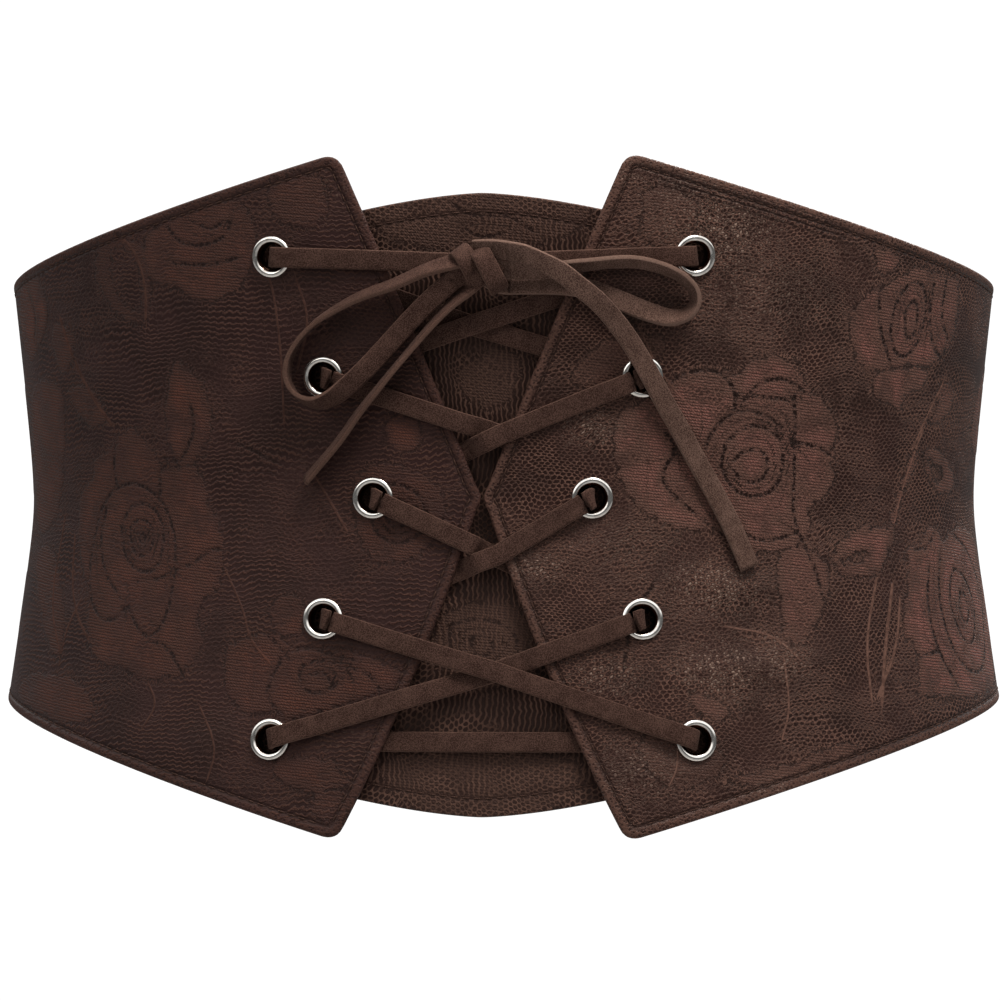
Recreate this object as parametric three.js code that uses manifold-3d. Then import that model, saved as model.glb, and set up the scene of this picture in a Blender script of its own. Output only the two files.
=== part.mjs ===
// A corset belt laced up its front, in millimetres, as it stands round a waist.
// +Z is up, the front faces -Y, and left and right are the viewer's as the front is looked at.
// The origin is the middle of the waist.
import * as THREE from 'three';
import { mergeVertices } from 'three/addons/utils/BufferGeometryUtils.js';
import { RoundedBoxGeometry } from 'three/addons/geometries/RoundedBoxGeometry.js';
import Module from 'manifold-3d';

// The form that the belt stands round
const WAIST_WIDTH = 249;
const WAIST_DEPTH = 176;
const WAIST_ROUNDING = 10;
const UPPER_FLARE = 0.111;
const LOWER_FLARE = 0.152;

// Cloth and leather
const PANEL_WALL = 1.6;
const MODESTY_WALL = 1.2;
const BAND_WALL = 1.6;
const GAP = 0.3;

// The front panels: how far their edges lie from the centre line, and how high and low they reach
const APEX_GAP = 0.6;
const UPPER_TIP_REACH = 34;
const UPPER_TIP_HEIGHT = 85.3;
const LOWER_TIP_REACH = 33;
const LOWER_TIP_HEIGHT = 84.7;
const REAR_REACH = 185;
const UPPER_REAR_HEIGHT = 55;
const LOWER_REAR_HEIGHT = 52;
const TIP_ROUNDING = 4;
const APEX_ROUNDING = 3;
const LOWER_EDGE_BOW = 1.2;

// Where the long top and bottom edges bend: shares of the run to the rear and of the drop from the tip
const EDGE_BENDS = [
  { run: 0.333, drop: 0.475 },
  { run: 0.703, drop: 1.02 },
];

// The plain panel behind the lacing
const MODESTY_REACH = 72;
const MODESTY_SEAM = 6;
const MODESTY_TOP = 75.1;
const MODESTY_BOTTOM = 78.3;
const MODESTY_DROP = 15.5;
const MODESTY_ROUNDNESS = 1.5;

// The elastic band round the back
const BAND_LAP = 10;
const BAND_INSET = 0.5;

// Eyelets
const EYELET_PITCH = 30;
const EYELET_ROWS = 5;
const EYELET_INSET = 27;
const EYELET_BORE = 6.2;
const EYELET_BARREL = 7.2;
const EYELET_RIM = 10.4;
const EYELET_RIM_HEIGHT = 0.7;
const WASHER_RIM = 9.4;
const WASHER_HEIGHT = 0.4;

// The flat lace
const LACE_WIDTH = 5;
const LACE_THICKNESS = 1.3;
const LACE_BEND = 1.9;
const LACE_CHAMFER = 0.35;
const LACE_REST = 3.5;
const LACE_CLEARANCE = 0.42;
const CROSSING_REST = 7;
const CROSSING_HOLD = 4.25;

// Where the two halves of the lace cross, from the top row down: the place as shares of the eyelets'
// inset and pitch, the half that passes over, and the face of the panel, 1 outside and -1 inside,
// that each half leaves above and reaches below
const CROSSINGS = [
  { across: -0.1, up: 1.42, over: 'right', leaves: -1, reaches: -1 },
  { across: 0.16, up: 0.52, over: 'left', leaves: 1, reaches: -1 },
  { across: 0.13, up: -0.48, over: 'right', leaves: 1, reaches: -1 },
  { across: 0.12, up: -1.43, over: 'right', leaves: 1, reaches: 1 },
];

// The bow
const KNOT_WIDTH = 12.4;
const KNOT_HEIGHT = 9.6;
const KNOT_DEPTH = 7.4;
const KNOT_PLACE = { girth: 0, height: 57, lift: 2.7 };
const LACE_ABOVE_KNOT = 1;
const LACE_TO_KNOT = 0.42;

// How finely the curved shapes are divided
const LONG_EDGE_STEPS = 14;
const FRONT_EDGE_STEPS = 5;
const CORNER_STEPS = 2;
const MODESTY_COLUMNS = 12;
const MODESTY_ROWS = 10;
const BAND_COLUMNS = 28;
const BAND_ROWS = [-1, -0.6, -0.3, -0.12, 0, 0.12, 0.3, 0.6, 1];
const ROUND_SIDES = 12;
const LACE_STEP = 10;
const EASE_STEPS = 4;
const BOW_STEPS_PER_ROW = 1.25;

// The bow's four stretches of lace: x, y, z, and the turn in degrees from lying flat to standing on edge
const BOW = {
  bow_loop_left: [
    [-6.9, -96.0, 58.0, 45],
    [-13.3, -95.5, 56.1, 55],
    [-21.6, -93.9, 52.6, 60],
    [-30.1, -92.0, 49.7, 65],
    [-36.3, -90.5, 46.6, 70],
    [-41.9, -89.0, 43.0, 75],
    [-46.0, -87.6, 38.4, 80],
    [-48.3, -86.6, 33.8, 82],
    [-48.5, -86.2, 29.5, 82],
    [-46.3, -86.7, 25.6, 78],
    [-42.0, -88.1, 23.5, 65],
    [-37.3, -89.8, 24.7, 45],
    [-33.5, -91.3, 27.4, 25],
    [-30.1, -92.1, 30.4, 15],
    [-23.9, -92.5, 36.8, 10],
    [-17.7, -93.4, 43.5, 10],
    [-11.4, -94.5, 49.7, 12],
    [-6.7, -95.3, 53.6, 15],
  ],
  bow_loop_right: [
    [6.8, -95.3, 56.3, 25],
    [12.3, -95.3, 55.9, 35],
    [17.9, -95.2, 56.1, 50],
    [23.1, -95.0, 56.9, 60],
    [28.0, -94.5, 57.5, 65],
    [32.6, -93.8, 58.0, 65],
    [37.3, -92.9, 58.1, 65],
    [41.9, -91.8, 57.4, 68],
    [46.5, -90.4, 55.9, 72],
    [50.2, -88.7, 53.8, 78],
    [52.4, -87.4, 51.1, 82],
    [52.7, -86.7, 48.2, 80],
    [50.9, -86.8, 45.7, 65],
    [47.2, -87.6, 44.6, 40],
    [41.6, -88.9, 45.8, 20],
    [34.8, -90.4, 48.4, 10],
    [28.8, -91.3, 50.7, 10],
    [23.2, -91.9, 52.1, 10],
    [17.0, -92.3, 52.6, 10],
    [11.6, -92.6, 52.6, 10],
    [6.7, -92.8, 52.6, 10],
  ],
  bow_end_right: [
    [6.8, -97.9, 60.7, 30],
    [10.5, -99.2, 59.9, 25],
    [14.9, -99.3, 58.0, 20],
    [19.7, -99.2, 55.6, 15],
    [24.3, -98.4, 52.0, 10],
    [28.9, -96.5, 48.3, 5],
    [32.6, -93.7, 44.2, 5],
    [36.3, -91.0, 39.2, 5],
    [39.5, -89.3, 34.0, 5],
    [42.3, -88.0, 28.9, 5],
    [45.6, -85.8, 22.7, 0],
    [48.4, -84.0, 17.8, 0],
    [52.0, -82.0, 11.0, 0],
    [57.0, -79.9, 2.0, 0],
    [61.5, -78.4, -6.8, 0],
    [66.1, -77.5, -17.4, 0],
  ],
  bow_end_left: [
    [-3.7, -94.3, 50.9, 50],
    [-6.0, -94.2, 48.9, 60],
    [-9.4, -94.2, 45.5, 70],
    [-13.5, -93.9, 41.1, 72],
    [-17.7, -93.5, 36.2, 74],
    [-21.8, -93.4, 31.4, 74],
    [-25.9, -92.6, 26.4, 70],
    [-30.2, -90.7, 21.3, 66],
    [-35.2, -88.5, 14.5, 64],
    [-41.6, -86.1, 7.1, 62],
    [-44.1, -85.3, 4.3, 60],
  ],
};

const lace_leather = new THREE.MeshStandardMaterial({ color: 0x45332d, roughness: 0.62, metalness: 0 });
const lace_net = new THREE.MeshStandardMaterial({ color: 0x41302b, roughness: 0.75, metalness: 0 });
const elastic = new THREE.MeshStandardMaterial({ color: 0x33241f, roughness: 0.85, metalness: 0 });
const suede = new THREE.MeshStandardMaterial({ color: 0x47342e, roughness: 0.9, metalness: 0 });
const nickel = new THREE.MeshStandardMaterial({ color: 0xcfcac2, roughness: 0.2, metalness: 1 });

const wasm = await Module();
wasm.setup();

const { lerp, clamp, euclideanModulo, degToRad, smoothstep } = THREE.MathUtils;
const flat = (girth, height) => new THREE.Vector2(girth, height);

// The belt's outer face, as a line round the waist that leans outwards above and below it
const waistLine = new THREE.EllipseCurve(
  0, 0, WAIST_WIDTH / 2, WAIST_DEPTH / 2, -Math.PI / 2, 1.5 * Math.PI,
);
waistLine.arcLengthDivisions = 1000;
const GIRTH = waistLine.getLength();

function surfaceAt(girth, height) {
  const onWaist = waistLine.getPointAt(euclideanModulo(girth / GIRTH, 1));
  const lean = (height > 0 ? UPPER_FLARE : LOWER_FLARE) / (WAIST_WIDTH / 2);
  const rise = Math.hypot(height, WAIST_ROUNDING);
  const spread = 1 + lean * (rise - WAIST_ROUNDING);
  return {
    point: new THREE.Vector3(onWaist.x * spread, onWaist.y * spread, height),
    normal: new THREE.Vector3(
      onWaist.x / (WAIST_WIDTH / 2) ** 2,
      onWaist.y / (WAIST_DEPTH / 2) ** 2,
      (-lean * height) / rise,
    ).normalize(),
  };
}

// A place on the belt: girth from the centre front, height, and how far it is lifted off the outer face
function place(girth, height, lift = 0) {
  const { point, normal } = surfaceAt(girth, height);
  return point.addScaledVector(normal, lift);
}

// A closed wall over a grid of flat places whose rows rise and whose columns run to the right
function wall(grid, liftAt, thickness) {
  const rows = grid.length;
  const columns = grid[0].length;
  const positions = [];
  for (const depth of [0, thickness]) {
    for (const row of grid) {
      for (const spot of row) {
        positions.push(...place(spot.x, spot.y, liftAt(Math.abs(spot.x)) - depth));
      }
    }
  }
  const outer = (i, j) => i * columns + j;
  const inner = (i, j) => rows * columns + outer(i, j);
  const index = [];
  const quad = (a, b, c, d) => index.push(a, b, c, a, c, d);
  for (let i = 0; i + 1 < rows; i++) {
    for (let j = 0; j + 1 < columns; j++) {
      quad(outer(i, j), outer(i, j + 1), outer(i + 1, j + 1), outer(i + 1, j));
      quad(inner(i, j), inner(i + 1, j), inner(i + 1, j + 1), inner(i, j + 1));
    }
  }
  const rim = [];
  for (let j = 0; j < columns; j++) rim.push([0, j]);
  for (let i = 1; i < rows; i++) rim.push([i, columns - 1]);
  for (let j = columns - 2; j >= 0; j--) rim.push([rows - 1, j]);
  for (let i = rows - 2; i > 0; i--) rim.push([i, 0]);
  rim.forEach((here, k) => {
    const next = rim[(k + 1) % rim.length];
    quad(outer(...next), outer(...here), inner(...here), inner(...next));
  });
  const geometry = new THREE.BufferGeometry();
  geometry.setAttribute('position', new THREE.Float32BufferAttribute(positions, 3));
  geometry.setIndex(index);
  geometry.computeVertexNormals();
  return geometry;
}

// Joining and cutting
function toSolid(geometry) {
  const bare = geometry.clone();
  bare.deleteAttribute('normal');
  bare.deleteAttribute('uv');
  const merged = mergeVertices(bare);
  return new wasm.Manifold(new wasm.Mesh({
    numProp: 3,
    vertProperties: new Float32Array(merged.attributes.position.array),
    triVerts: new Uint32Array(merged.index.array),
  }));
}

function toGeometry(solid) {
  const mesh = solid.getMesh();
  const geometry = new THREE.BufferGeometry();
  geometry.setAttribute('position', new THREE.BufferAttribute(mesh.vertProperties, 3));
  geometry.setIndex(new THREE.BufferAttribute(mesh.triVerts, 1));
  geometry.computeVertexNormals();
  return geometry;
}

// A rounded corner as two halves that meet at its middle
function roundedCorner(before, corner, after) {
  const middle = before.clone().add(after).multiplyScalar(0.25).addScaledVector(corner, 0.5);
  return [
    new THREE.QuadraticBezierCurve(before, before.clone().lerp(corner, 0.5), middle),
    new THREE.QuadraticBezierCurve(middle, corner.clone().lerp(after, 0.5), after),
  ];
}

// Points along curves that follow each other, with a number of steps on each
function pointsAlong(...stretches) {
  const points = [];
  for (const [curve, steps] of stretches) {
    points.push(...curve.getSpacedPoints(steps).slice(points.length ? 1 : 0));
  }
  return points;
}

function shares(points) {
  const lengths = [0];
  for (let k = 1; k < points.length; k++) {
    lengths.push(lengths[k - 1] + points[k].distanceTo(points[k - 1]));
  }
  return lengths.map((length) => length / lengths.at(-1));
}

const towards = (from, to, distance) => from.clone().add(to.clone().sub(from).setLength(distance));

// The straight front edge of a panel: how far it lies from the centre line at a height
function edgeReach(height) {
  const [reach, top] = height > 0
    ? [UPPER_TIP_REACH, UPPER_TIP_HEIGHT]
    : [LOWER_TIP_REACH, LOWER_TIP_HEIGHT];
  return lerp(APEX_GAP / 2, reach, Math.abs(height) / top);
}

// Half of a front panel's outline, above the waist or below it
function halfOutline(sign, tipReach, tipHeight, rearHeight, bow) {
  const tip = flat(tipReach, sign * tipHeight);
  const rear = flat(REAR_REACH, sign * rearHeight);
  const bends = EDGE_BENDS.map(({ run, drop }) => flat(lerp(tip.x, rear.x, run), lerp(tip.y, rear.y, drop)));
  const apex = flat(APEX_GAP / 2, 0);
  const onLong = towards(tip, bends[0], TIP_ROUNDING);
  const onFront = towards(tip, apex, TIP_ROUNDING);
  const nearApex = towards(apex, tip, APEX_ROUNDING);
  const bowed = onFront.clone().lerp(nearApex, 0.5).sub(flat(2 * bow, 0));
  const [tipRear, tipFront] = roundedCorner(onLong, tip, onFront);
  return {
    nearApex,
    long: pointsAlong(
      [new THREE.CubicBezierCurve(rear, bends[1], bends[0], onLong), LONG_EDGE_STEPS],
      [tipRear, CORNER_STEPS],
    ),
    front: pointsAlong(
      [tipFront, CORNER_STEPS],
      [new THREE.QuadraticBezierCurve(onFront, bowed, nearApex), FRONT_EDGE_STEPS],
    ),
  };
}

// The right panel's flat grid, blended between its four edges
function panelGrid() {
  const upper = halfOutline(1, UPPER_TIP_REACH, UPPER_TIP_HEIGHT, UPPER_REAR_HEIGHT, 0);
  const lower = halfOutline(-1, LOWER_TIP_REACH, LOWER_TIP_HEIGHT, LOWER_REAR_HEIGHT, LOWER_EDGE_BOW);
  const apexCurve = new THREE.QuadraticBezierCurve(
    lower.nearApex, flat(APEX_GAP - lower.nearApex.x, 0), upper.nearApex,
  );
  const apex = apexCurve.getSpacedPoints(CORNER_STEPS).slice(1, -1);
  const front = [...lower.front, ...apex, ...upper.front.reverse()];
  const low = lower.long.reverse();
  const high = upper.long.reverse();
  const across = shares(high);
  const up = shares(front);
  const rearTop = high.at(-1);
  const rearBottom = low.at(-1);
  return up.map((v, i) => across.map((u, j) => {
    const rear = rearBottom.clone().lerp(rearTop, v);
    const ruled = front[i].clone().lerp(rear, u).add(low[j].clone().lerp(high[j], v));
    const corners = low[0].clone().lerp(low.at(-1), u).lerp(high[0].clone().lerp(rearTop, u), v);
    return ruled.sub(corners);
  }));
}

const eyeletRow = (row) => {
  const height = EYELET_PITCH * ((EYELET_ROWS - 1) / 2 - row);
  return flat(edgeReach(height) + EYELET_INSET, height);
};
const eyelets = Array.from({ length: EYELET_ROWS }, (_, row) => eyeletRow(row));
const sides = { left: -1, right: 1 };

// Turns a shape that stands on the XZ plane so that its axis points off the belt at a place
function setOnBelt(geometry, girth, height) {
  const { point, normal } = surfaceAt(girth, height);
  const turn = new THREE.Quaternion().setFromUnitVectors(new THREE.Vector3(0, 1, 0), normal);
  return geometry.applyQuaternion(turn).translate(point.x, point.y, point.z);
}

function frontPanel(side) {
  const grid = panelGrid().map((row) => {
    const spots = row.map((spot) => flat(side * spot.x, spot.y));
    return side < 0 ? spots.reverse() : spots;
  });
  let panel = toSolid(wall(grid, () => 0, PANEL_WALL));
  const holeRadius = EYELET_BARREL / 2 + GAP;
  for (const eyelet of eyelets) {
    const cutter = new THREE.CylinderGeometry(holeRadius, holeRadius, 8 * PANEL_WALL, ROUND_SIDES);
    panel = panel.subtract(toSolid(setOnBelt(cutter, side * eyelet.x, eyelet.y)));
  }
  return toGeometry(panel);
}

// The modesty panel lies behind the laces, and its sides come out to the front panels' inner faces
const BACK_LACE = PANEL_WALL + GAP + WASHER_HEIGHT + GAP + LACE_THICKNESS;
function modestyPanel() {
  const sewn = MODESTY_REACH - MODESTY_SEAM;
  const clear = eyelets[0].x + WASHER_RIM / 2 + GAP;
  const liftAt = (reach) => lerp(
    -(BACK_LACE + GAP), -(PANEL_WALL + GAP), clamp((reach - clear) / (sewn - clear), 0, 1),
  );
  const inside = Array.from(
    { length: MODESTY_COLUMNS + 1 }, (_, k) => lerp(-clear, clear, k / MODESTY_COLUMNS),
  );
  const columns = [-MODESTY_REACH, -sewn, ...inside, sewn, MODESTY_REACH];
  const drop = (girth) => MODESTY_DROP * (Math.abs(girth) / MODESTY_REACH) ** MODESTY_ROUNDNESS;
  const grid = Array.from({ length: MODESTY_ROWS + 1 }, (_, i) => columns.map((girth) => flat(
    girth, lerp(drop(girth) - MODESTY_BOTTOM, MODESTY_TOP - drop(girth), i / MODESTY_ROWS),
  )));
  return wall(grid, liftAt, MODESTY_WALL);
}

// The band runs round the back, with each end lapped under a front panel
function backBand() {
  const start = REAR_REACH - BAND_LAP;
  const heights = BAND_ROWS.map(
    (share) => share * ((share > 0 ? UPPER_REAR_HEIGHT : LOWER_REAR_HEIGHT) - BAND_INSET),
  );
  const grid = heights.map((height) => Array.from(
    { length: BAND_COLUMNS + 1 }, (_, j) => flat(lerp(start, GIRTH - start, j / BAND_COLUMNS), height),
  ));
  return wall(grid, () => -(PANEL_WALL + GAP), BAND_WALL);
}

// An eyelet is one ring: a rolled rim outside, a barrel through the panel and a flat washer inside
function eyeletRing(side, eyelet) {
  const rimTop = GAP + EYELET_RIM_HEIGHT;
  const washerTop = -(PANEL_WALL + GAP);
  const washerBottom = washerTop - WASHER_HEIGHT;
  const edge = EYELET_RIM_HEIGHT / 2;
  const profile = [
    [EYELET_BORE / 2, washerBottom],
    [WASHER_RIM / 2, washerBottom],
    [WASHER_RIM / 2, washerTop],
    [EYELET_BARREL / 2, washerTop],
    [EYELET_BARREL / 2, GAP],
    [EYELET_RIM / 2, GAP],
    [EYELET_RIM / 2 - edge, rimTop],
    [EYELET_BORE / 2 + edge, rimTop],
    [EYELET_BORE / 2, rimTop - edge],
    [EYELET_BORE / 2, washerBottom],
  ].map(([radius, lift]) => flat(radius, lift));
  return setOnBelt(new THREE.LatheGeometry(profile, ROUND_SIDES), side * eyelet.x, eyelet.y);
}

// A strip that follows given stations, each a point and the way that the strip's flat face looks
class StripPath extends THREE.Curve {
  constructor(stations) {
    super();
    this.points = stations.map(({ point }) => point);
    const last = this.points.length - 1;
    this.tangents = this.points.map((_, k) => this.points[Math.min(k + 1, last)].clone()
      .sub(this.points[Math.max(k - 1, 0)]).normalize());
    this.normals = stations.map(({ face }, k) => face.clone()
      .addScaledVector(this.tangents[k], -face.dot(this.tangents[k])).normalize());
    this.binormals = this.tangents.map((tangent, k) => tangent.clone().cross(this.normals[k]));
  }

  getPoint(share) {
    const at = share * (this.points.length - 1);
    const k = Math.min(Math.floor(at), this.points.length - 2);
    return this.points[k].clone().lerp(this.points[k + 1], at - k);
  }

  getSpacedPoints() {
    return this.points;
  }

  computeFrenetFrames() {
    return { tangents: this.tangents, normals: this.normals, binormals: this.binormals };
  }
}

function strip(stations) {
  const x = LACE_THICKNESS / 2;
  const y = LACE_WIDTH / 2;
  const section = new THREE.Shape([
    [x, y - LACE_CHAMFER], [x - LACE_CHAMFER, y], [LACE_CHAMFER - x, y], [-x, y - LACE_CHAMFER],
    [-x, LACE_CHAMFER - y], [LACE_CHAMFER - x, -y], [x - LACE_CHAMFER, -y], [x, LACE_CHAMFER - y],
  ].map((corner) => flat(...corner)));
  return new THREE.ExtrudeGeometry(section, {
    steps: stations.length - 1, bevelEnabled: false, extrudePath: new StripPath(stations),
  });
}

// The lace's middle lies this far off the panels' outer face, beyond an eyelet and over its rim
const onFace = {
  1: GAP + LACE_THICKNESS / 2,
  [-1]: -(PANEL_WALL + GAP + LACE_THICKNESS / 2),
};
const onRim = {
  1: GAP + EYELET_RIM_HEIGHT + GAP + LACE_THICKNESS / 2,
  [-1]: -(BACK_LACE - LACE_THICKNESS / 2),
};
const STACKED = LACE_THICKNESS + LACE_CLEARANCE;

// A station on the belt whose flat face looks partly off the belt and partly along a flat direction
function station(spot, lift, off, along, direction) {
  const point = place(spot.x, spot.y, lift);
  const ahead = place(spot.x + direction.x, spot.y + direction.y, lift).sub(point).normalize();
  const face = surfaceAt(spot.x, spot.y).normal.multiplyScalar(off).addScaledVector(ahead, along);
  return { point, face };
}

// Through an eyelet from one face of the panel to the other, turning from one run's direction to the next
function passage(centre, from, to, arrives, turned) {
  const stations = [];
  const bends = [[arrives, 0], [arrives, 45], [arrives, 90], [-arrives, 90], [-arrives, 45], [-arrives, 0]];
  bends.forEach(([face, degrees], k) => {
    const angle = degToRad(degrees);
    const away = from.clone().lerp(to, smoothstep(k, 0, bends.length - 1)).normalize();
    const spot = centre.clone().addScaledVector(away, LACE_BEND * (1 - Math.sin(angle)));
    const lift = onRim[face] - face * LACE_BEND * (1 - Math.cos(angle));
    stations.push(station(spot, lift, turned * face * Math.cos(angle), -turned * Math.sin(angle), away));
  });
  return stations;
}

// The height of the lace along a run, eased between rows of [distance, lift]
function easedLift(rows, distance) {
  const next = rows.findIndex(([at]) => at > distance);
  if (next < 0) return rows.at(-1)[1];
  if (next === 0) return rows[0][1];
  const [fromAt, fromLift] = rows[next - 1];
  const [toAt, toLift] = rows[next];
  return lerp(fromLift, toLift, smoothstep(distance, fromAt, toAt));
}

// Rows of [distance, lift] away from an eyelet: over its rim, then down on the panel's face
function besideEyelet(face) {
  const edge = EYELET_RIM / 2;
  return [[LACE_BEND, onRim[face]], [edge + LACE_REST / 2, onRim[face]], [edge + 2 * LACE_REST, onFace[face]]];
}

// A run between two eyelets by way of their crossing, from the end of one bend to the start of the next
function run(start, crossing, end, leaves, reaches, isOver, turned) {
  const legs = [start.distanceTo(crossing), crossing.distanceTo(end)];
  const total = legs[0] + legs[1];
  const spotAt = (distance) => (distance < legs[0]
    ? start.clone().lerp(crossing, distance / legs[0])
    : crossing.clone().lerp(end, (distance - legs[0]) / legs[1]));
  const isOnPanel = (distance) => Math.abs(spotAt(distance).x) > edgeReach(spotAt(distance).y);
  let leavesPanel = 0;
  while (isOnPanel(leavesPanel)) leavesPanel += 0.25;
  let reachesPanel = total;
  while (isOnPanel(reachesPanel)) reachesPanel -= 0.25;
  const rows = [
    ...besideEyelet(leaves),
    ...middleLifts(leavesPanel, legs[0], reachesPanel, leaves, reaches, isOver),
    ...besideEyelet(reaches).reverse().map(([distance, lift]) => [total - distance, lift]),
  ];
  const stations = [];
  rows.slice(0, -1).forEach(([from, fromLift], k) => {
    const [to, toLift] = rows[k + 1];
    const leavesFace = fromLift !== toLift && k > 1 && k < rows.length - 3;
    const steps = leavesFace ? EASE_STEPS : Math.ceil((to - from) / LACE_STEP);
    for (let s = k ? 0 : 1; s < steps; s++) {
      const distance = lerp(from, to, s / steps);
      const spot = spotAt(distance);
      const heading = spotAt(Math.min(distance + 1, total)).sub(spotAt(Math.max(distance - 1, 0)));
      stations.push(station(spot, easedLift(rows, distance), turned, 0, heading.normalize()));
    }
  });
  return stations;
}

// How a run lies in the gap between the panels
function middleLifts(leavesPanel, crossing, reachesPanel, leaves, reaches, isOver) {
  if (leaves === reaches) {
    const dips = leaves > 0 ? !isOver : isOver;
    const middle = dips ? onFace[leaves] - leaves * STACKED : onFace[leaves];
    return [
      [leavesPanel + LACE_REST / 3, onFace[leaves]],
      [crossing - CROSSING_REST, middle],
      [crossing + CROSSING_REST, middle],
      [reachesPanel - LACE_REST / 2, onFace[reaches]],
    ];
  }
  return isOver
    ? [[crossing + CROSSING_HOLD, onFace[leaves]], [reachesPanel - LACE_REST / 2, onFace[reaches]]]
    : [[leavesPanel + LACE_WIDTH / 2, onFace[leaves]], [crossing - CROSSING_HOLD, onFace[reaches]]];
}

// One half of the lace, from the knot down to the middle of the bar below the lowest crossing
function laceHalf(name) {
  const at = (row, side) => flat(side * eyelets[row].x, eyelets[row].y);
  let side = sides[name];
  let turned = 1;
  const knotEdge = flat(side * (KNOT_WIDTH / 2 + LACE_TO_KNOT), KNOT_PLACE.height + LACE_ABOVE_KNOT);
  const top = at(0, side);
  let from = knotEdge.clone().sub(top).normalize();
  const settled = besideEyelet(1).at(-1)[0];
  const stations = [
    ...[1, 0.75, 0.5, 0.25].map((share) => [lerp(settled, knotEdge.distanceTo(top), share), onFace[1]]),
    ...besideEyelet(1).reverse().slice(0, -1),
  ].map(([distance, lift]) => station(towards(top, knotEdge, distance), lift, turned, 0, from));
  let arrives = 1;
  CROSSINGS.forEach((crossing, row) => {
    const start = at(row, side);
    const meet = flat(crossing.across * EYELET_INSET, crossing.up * EYELET_PITCH);
    const end = at(row + 1, -side);
    const to = meet.clone().sub(start).normalize();
    stations.push(...passage(start, from, to, arrives, turned));
    turned = -turned;
    const facing = turned * crossing.leaves;
    stations.push(...run(
      start, meet, end, crossing.leaves, crossing.reaches, crossing.over === name, facing * crossing.leaves,
    ));
    from = meet.clone().sub(end).normalize();
    arrives = crossing.reaches;
    side = -side;
  });
  const last = at(EYELET_ROWS - 1, side);
  const bar = flat(-side, 0);
  stations.push(...passage(last, from, bar, arrives, turned));
  turned = -turned;
  for (const [distance, lift] of besideEyelet(-1).slice(1)) {
    stations.push(station(last.clone().addScaledVector(bar, distance), lift, turned, 0, bar));
  }
  const beyond = last.x + bar.x * settled;
  for (const share of [0.25, 0.5, 0.75, 1]) {
    stations.push(station(flat(lerp(beyond, bar.x * GAP, share), last.y), onFace[-1], turned, 0, bar));
  }
  return stations;
}

function lacing() {
  return toGeometry(toSolid(strip(laceHalf('left'))).add(toSolid(strip(laceHalf('right')))));
}

// The knot is a small rounded block that the lace's stretches run up to
function bowKnot() {
  const { girth, height, lift } = KNOT_PLACE;
  const centre = place(girth, height, lift);
  return new RoundedBoxGeometry(KNOT_WIDTH, KNOT_DEPTH, KNOT_HEIGHT, 1, KNOT_DEPTH / 3)
    .translate(centre.x, centre.y, centre.z);
}

function bowStretch(rows) {
  const route = new THREE.CatmullRomCurve3(rows.map(([x, y, z]) => new THREE.Vector3(x, y, z)));
  const turns = new THREE.SplineCurve(rows.map(([, , , turn], k) => flat(k, turn)));
  const steps = Math.round(BOW_STEPS_PER_ROW * (rows.length - 1));
  const stations = Array.from({ length: steps + 1 }, (_, k) => {
    const share = k / steps;
    const point = route.getPoint(share);
    const tangent = route.getTangent(share);
    const outwards = new THREE.Vector3(
      point.x / (WAIST_WIDTH / 2) ** 2, point.y / (WAIST_DEPTH / 2) ** 2, 0,
    );
    outwards.addScaledVector(tangent, -outwards.dot(tangent)).normalize();
    return { point, face: outwards.applyAxisAngle(tangent, degToRad(turns.getPoint(share).y)) };
  });
  return strip(stations);
}

const belt = new THREE.Group();
function add(name, geometry, material) {
  const mesh = new THREE.Mesh(geometry, material);
  mesh.name = name;
  belt.add(mesh);
}

for (const [name, side] of Object.entries(sides)) {
  add(`${name}_front_panel`, frontPanel(side), lace_leather);
  eyelets.forEach((eyelet, row) => add(`eyelet_${name}_${row + 1}`, eyeletRing(side, eyelet), nickel));
}
add('modesty_panel', modestyPanel(), lace_net);
add('back_band', backBand(), elastic);
add('lacing', lacing(), suede);
add('bow_knot', bowKnot(), suede);
for (const [name, rows] of Object.entries(BOW)) add(name, bowStretch(rows), suede);

export default belt;
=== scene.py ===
# %% [markdown]
# # A corset belt in Blender
# The belt is a wide band of leather under lace net, laced up its front with a flat suede lace.
# A solid model of it exists already, with every piece at its real size. This lesson loads that
# model as a fixed frame and dresses it, one piece at a time. Lengths are in metres, except where a
# table or a name says millimetres.

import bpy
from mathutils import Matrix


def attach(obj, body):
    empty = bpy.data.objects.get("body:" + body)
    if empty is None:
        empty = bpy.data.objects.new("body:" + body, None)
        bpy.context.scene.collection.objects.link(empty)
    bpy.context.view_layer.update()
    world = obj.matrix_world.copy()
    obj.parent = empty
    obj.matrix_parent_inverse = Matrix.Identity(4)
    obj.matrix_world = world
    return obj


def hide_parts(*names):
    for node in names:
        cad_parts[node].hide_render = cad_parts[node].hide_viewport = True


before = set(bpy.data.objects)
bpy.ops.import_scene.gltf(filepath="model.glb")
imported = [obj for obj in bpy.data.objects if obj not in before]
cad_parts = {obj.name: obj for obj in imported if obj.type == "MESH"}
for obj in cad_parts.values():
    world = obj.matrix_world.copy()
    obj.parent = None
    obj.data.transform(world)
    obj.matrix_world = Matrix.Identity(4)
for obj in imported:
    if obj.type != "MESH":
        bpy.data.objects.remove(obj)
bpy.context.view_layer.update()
print("nodes in the frame:", len(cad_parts))

# %% [markdown]
# ## The tools of the lesson
# Blender's own module makes the objects. Arrays of numbers work out many points at once, which is
# much faster than a loop over single points.

# %% The tools of the lesson
import math

import bpy
import numpy as np

MM = 0.001
print("one millimetre is", MM)

# %% [markdown]
# ## Camera
# The photograph was taken level with the waist and from a little to the right of the belt's middle.
# A long lens on a camera 1.3 m away keeps the far sides of the belt almost as large as the near ones,
# as the photograph shows. The shift moves the picture by a few pixels without turning the camera.

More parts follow.
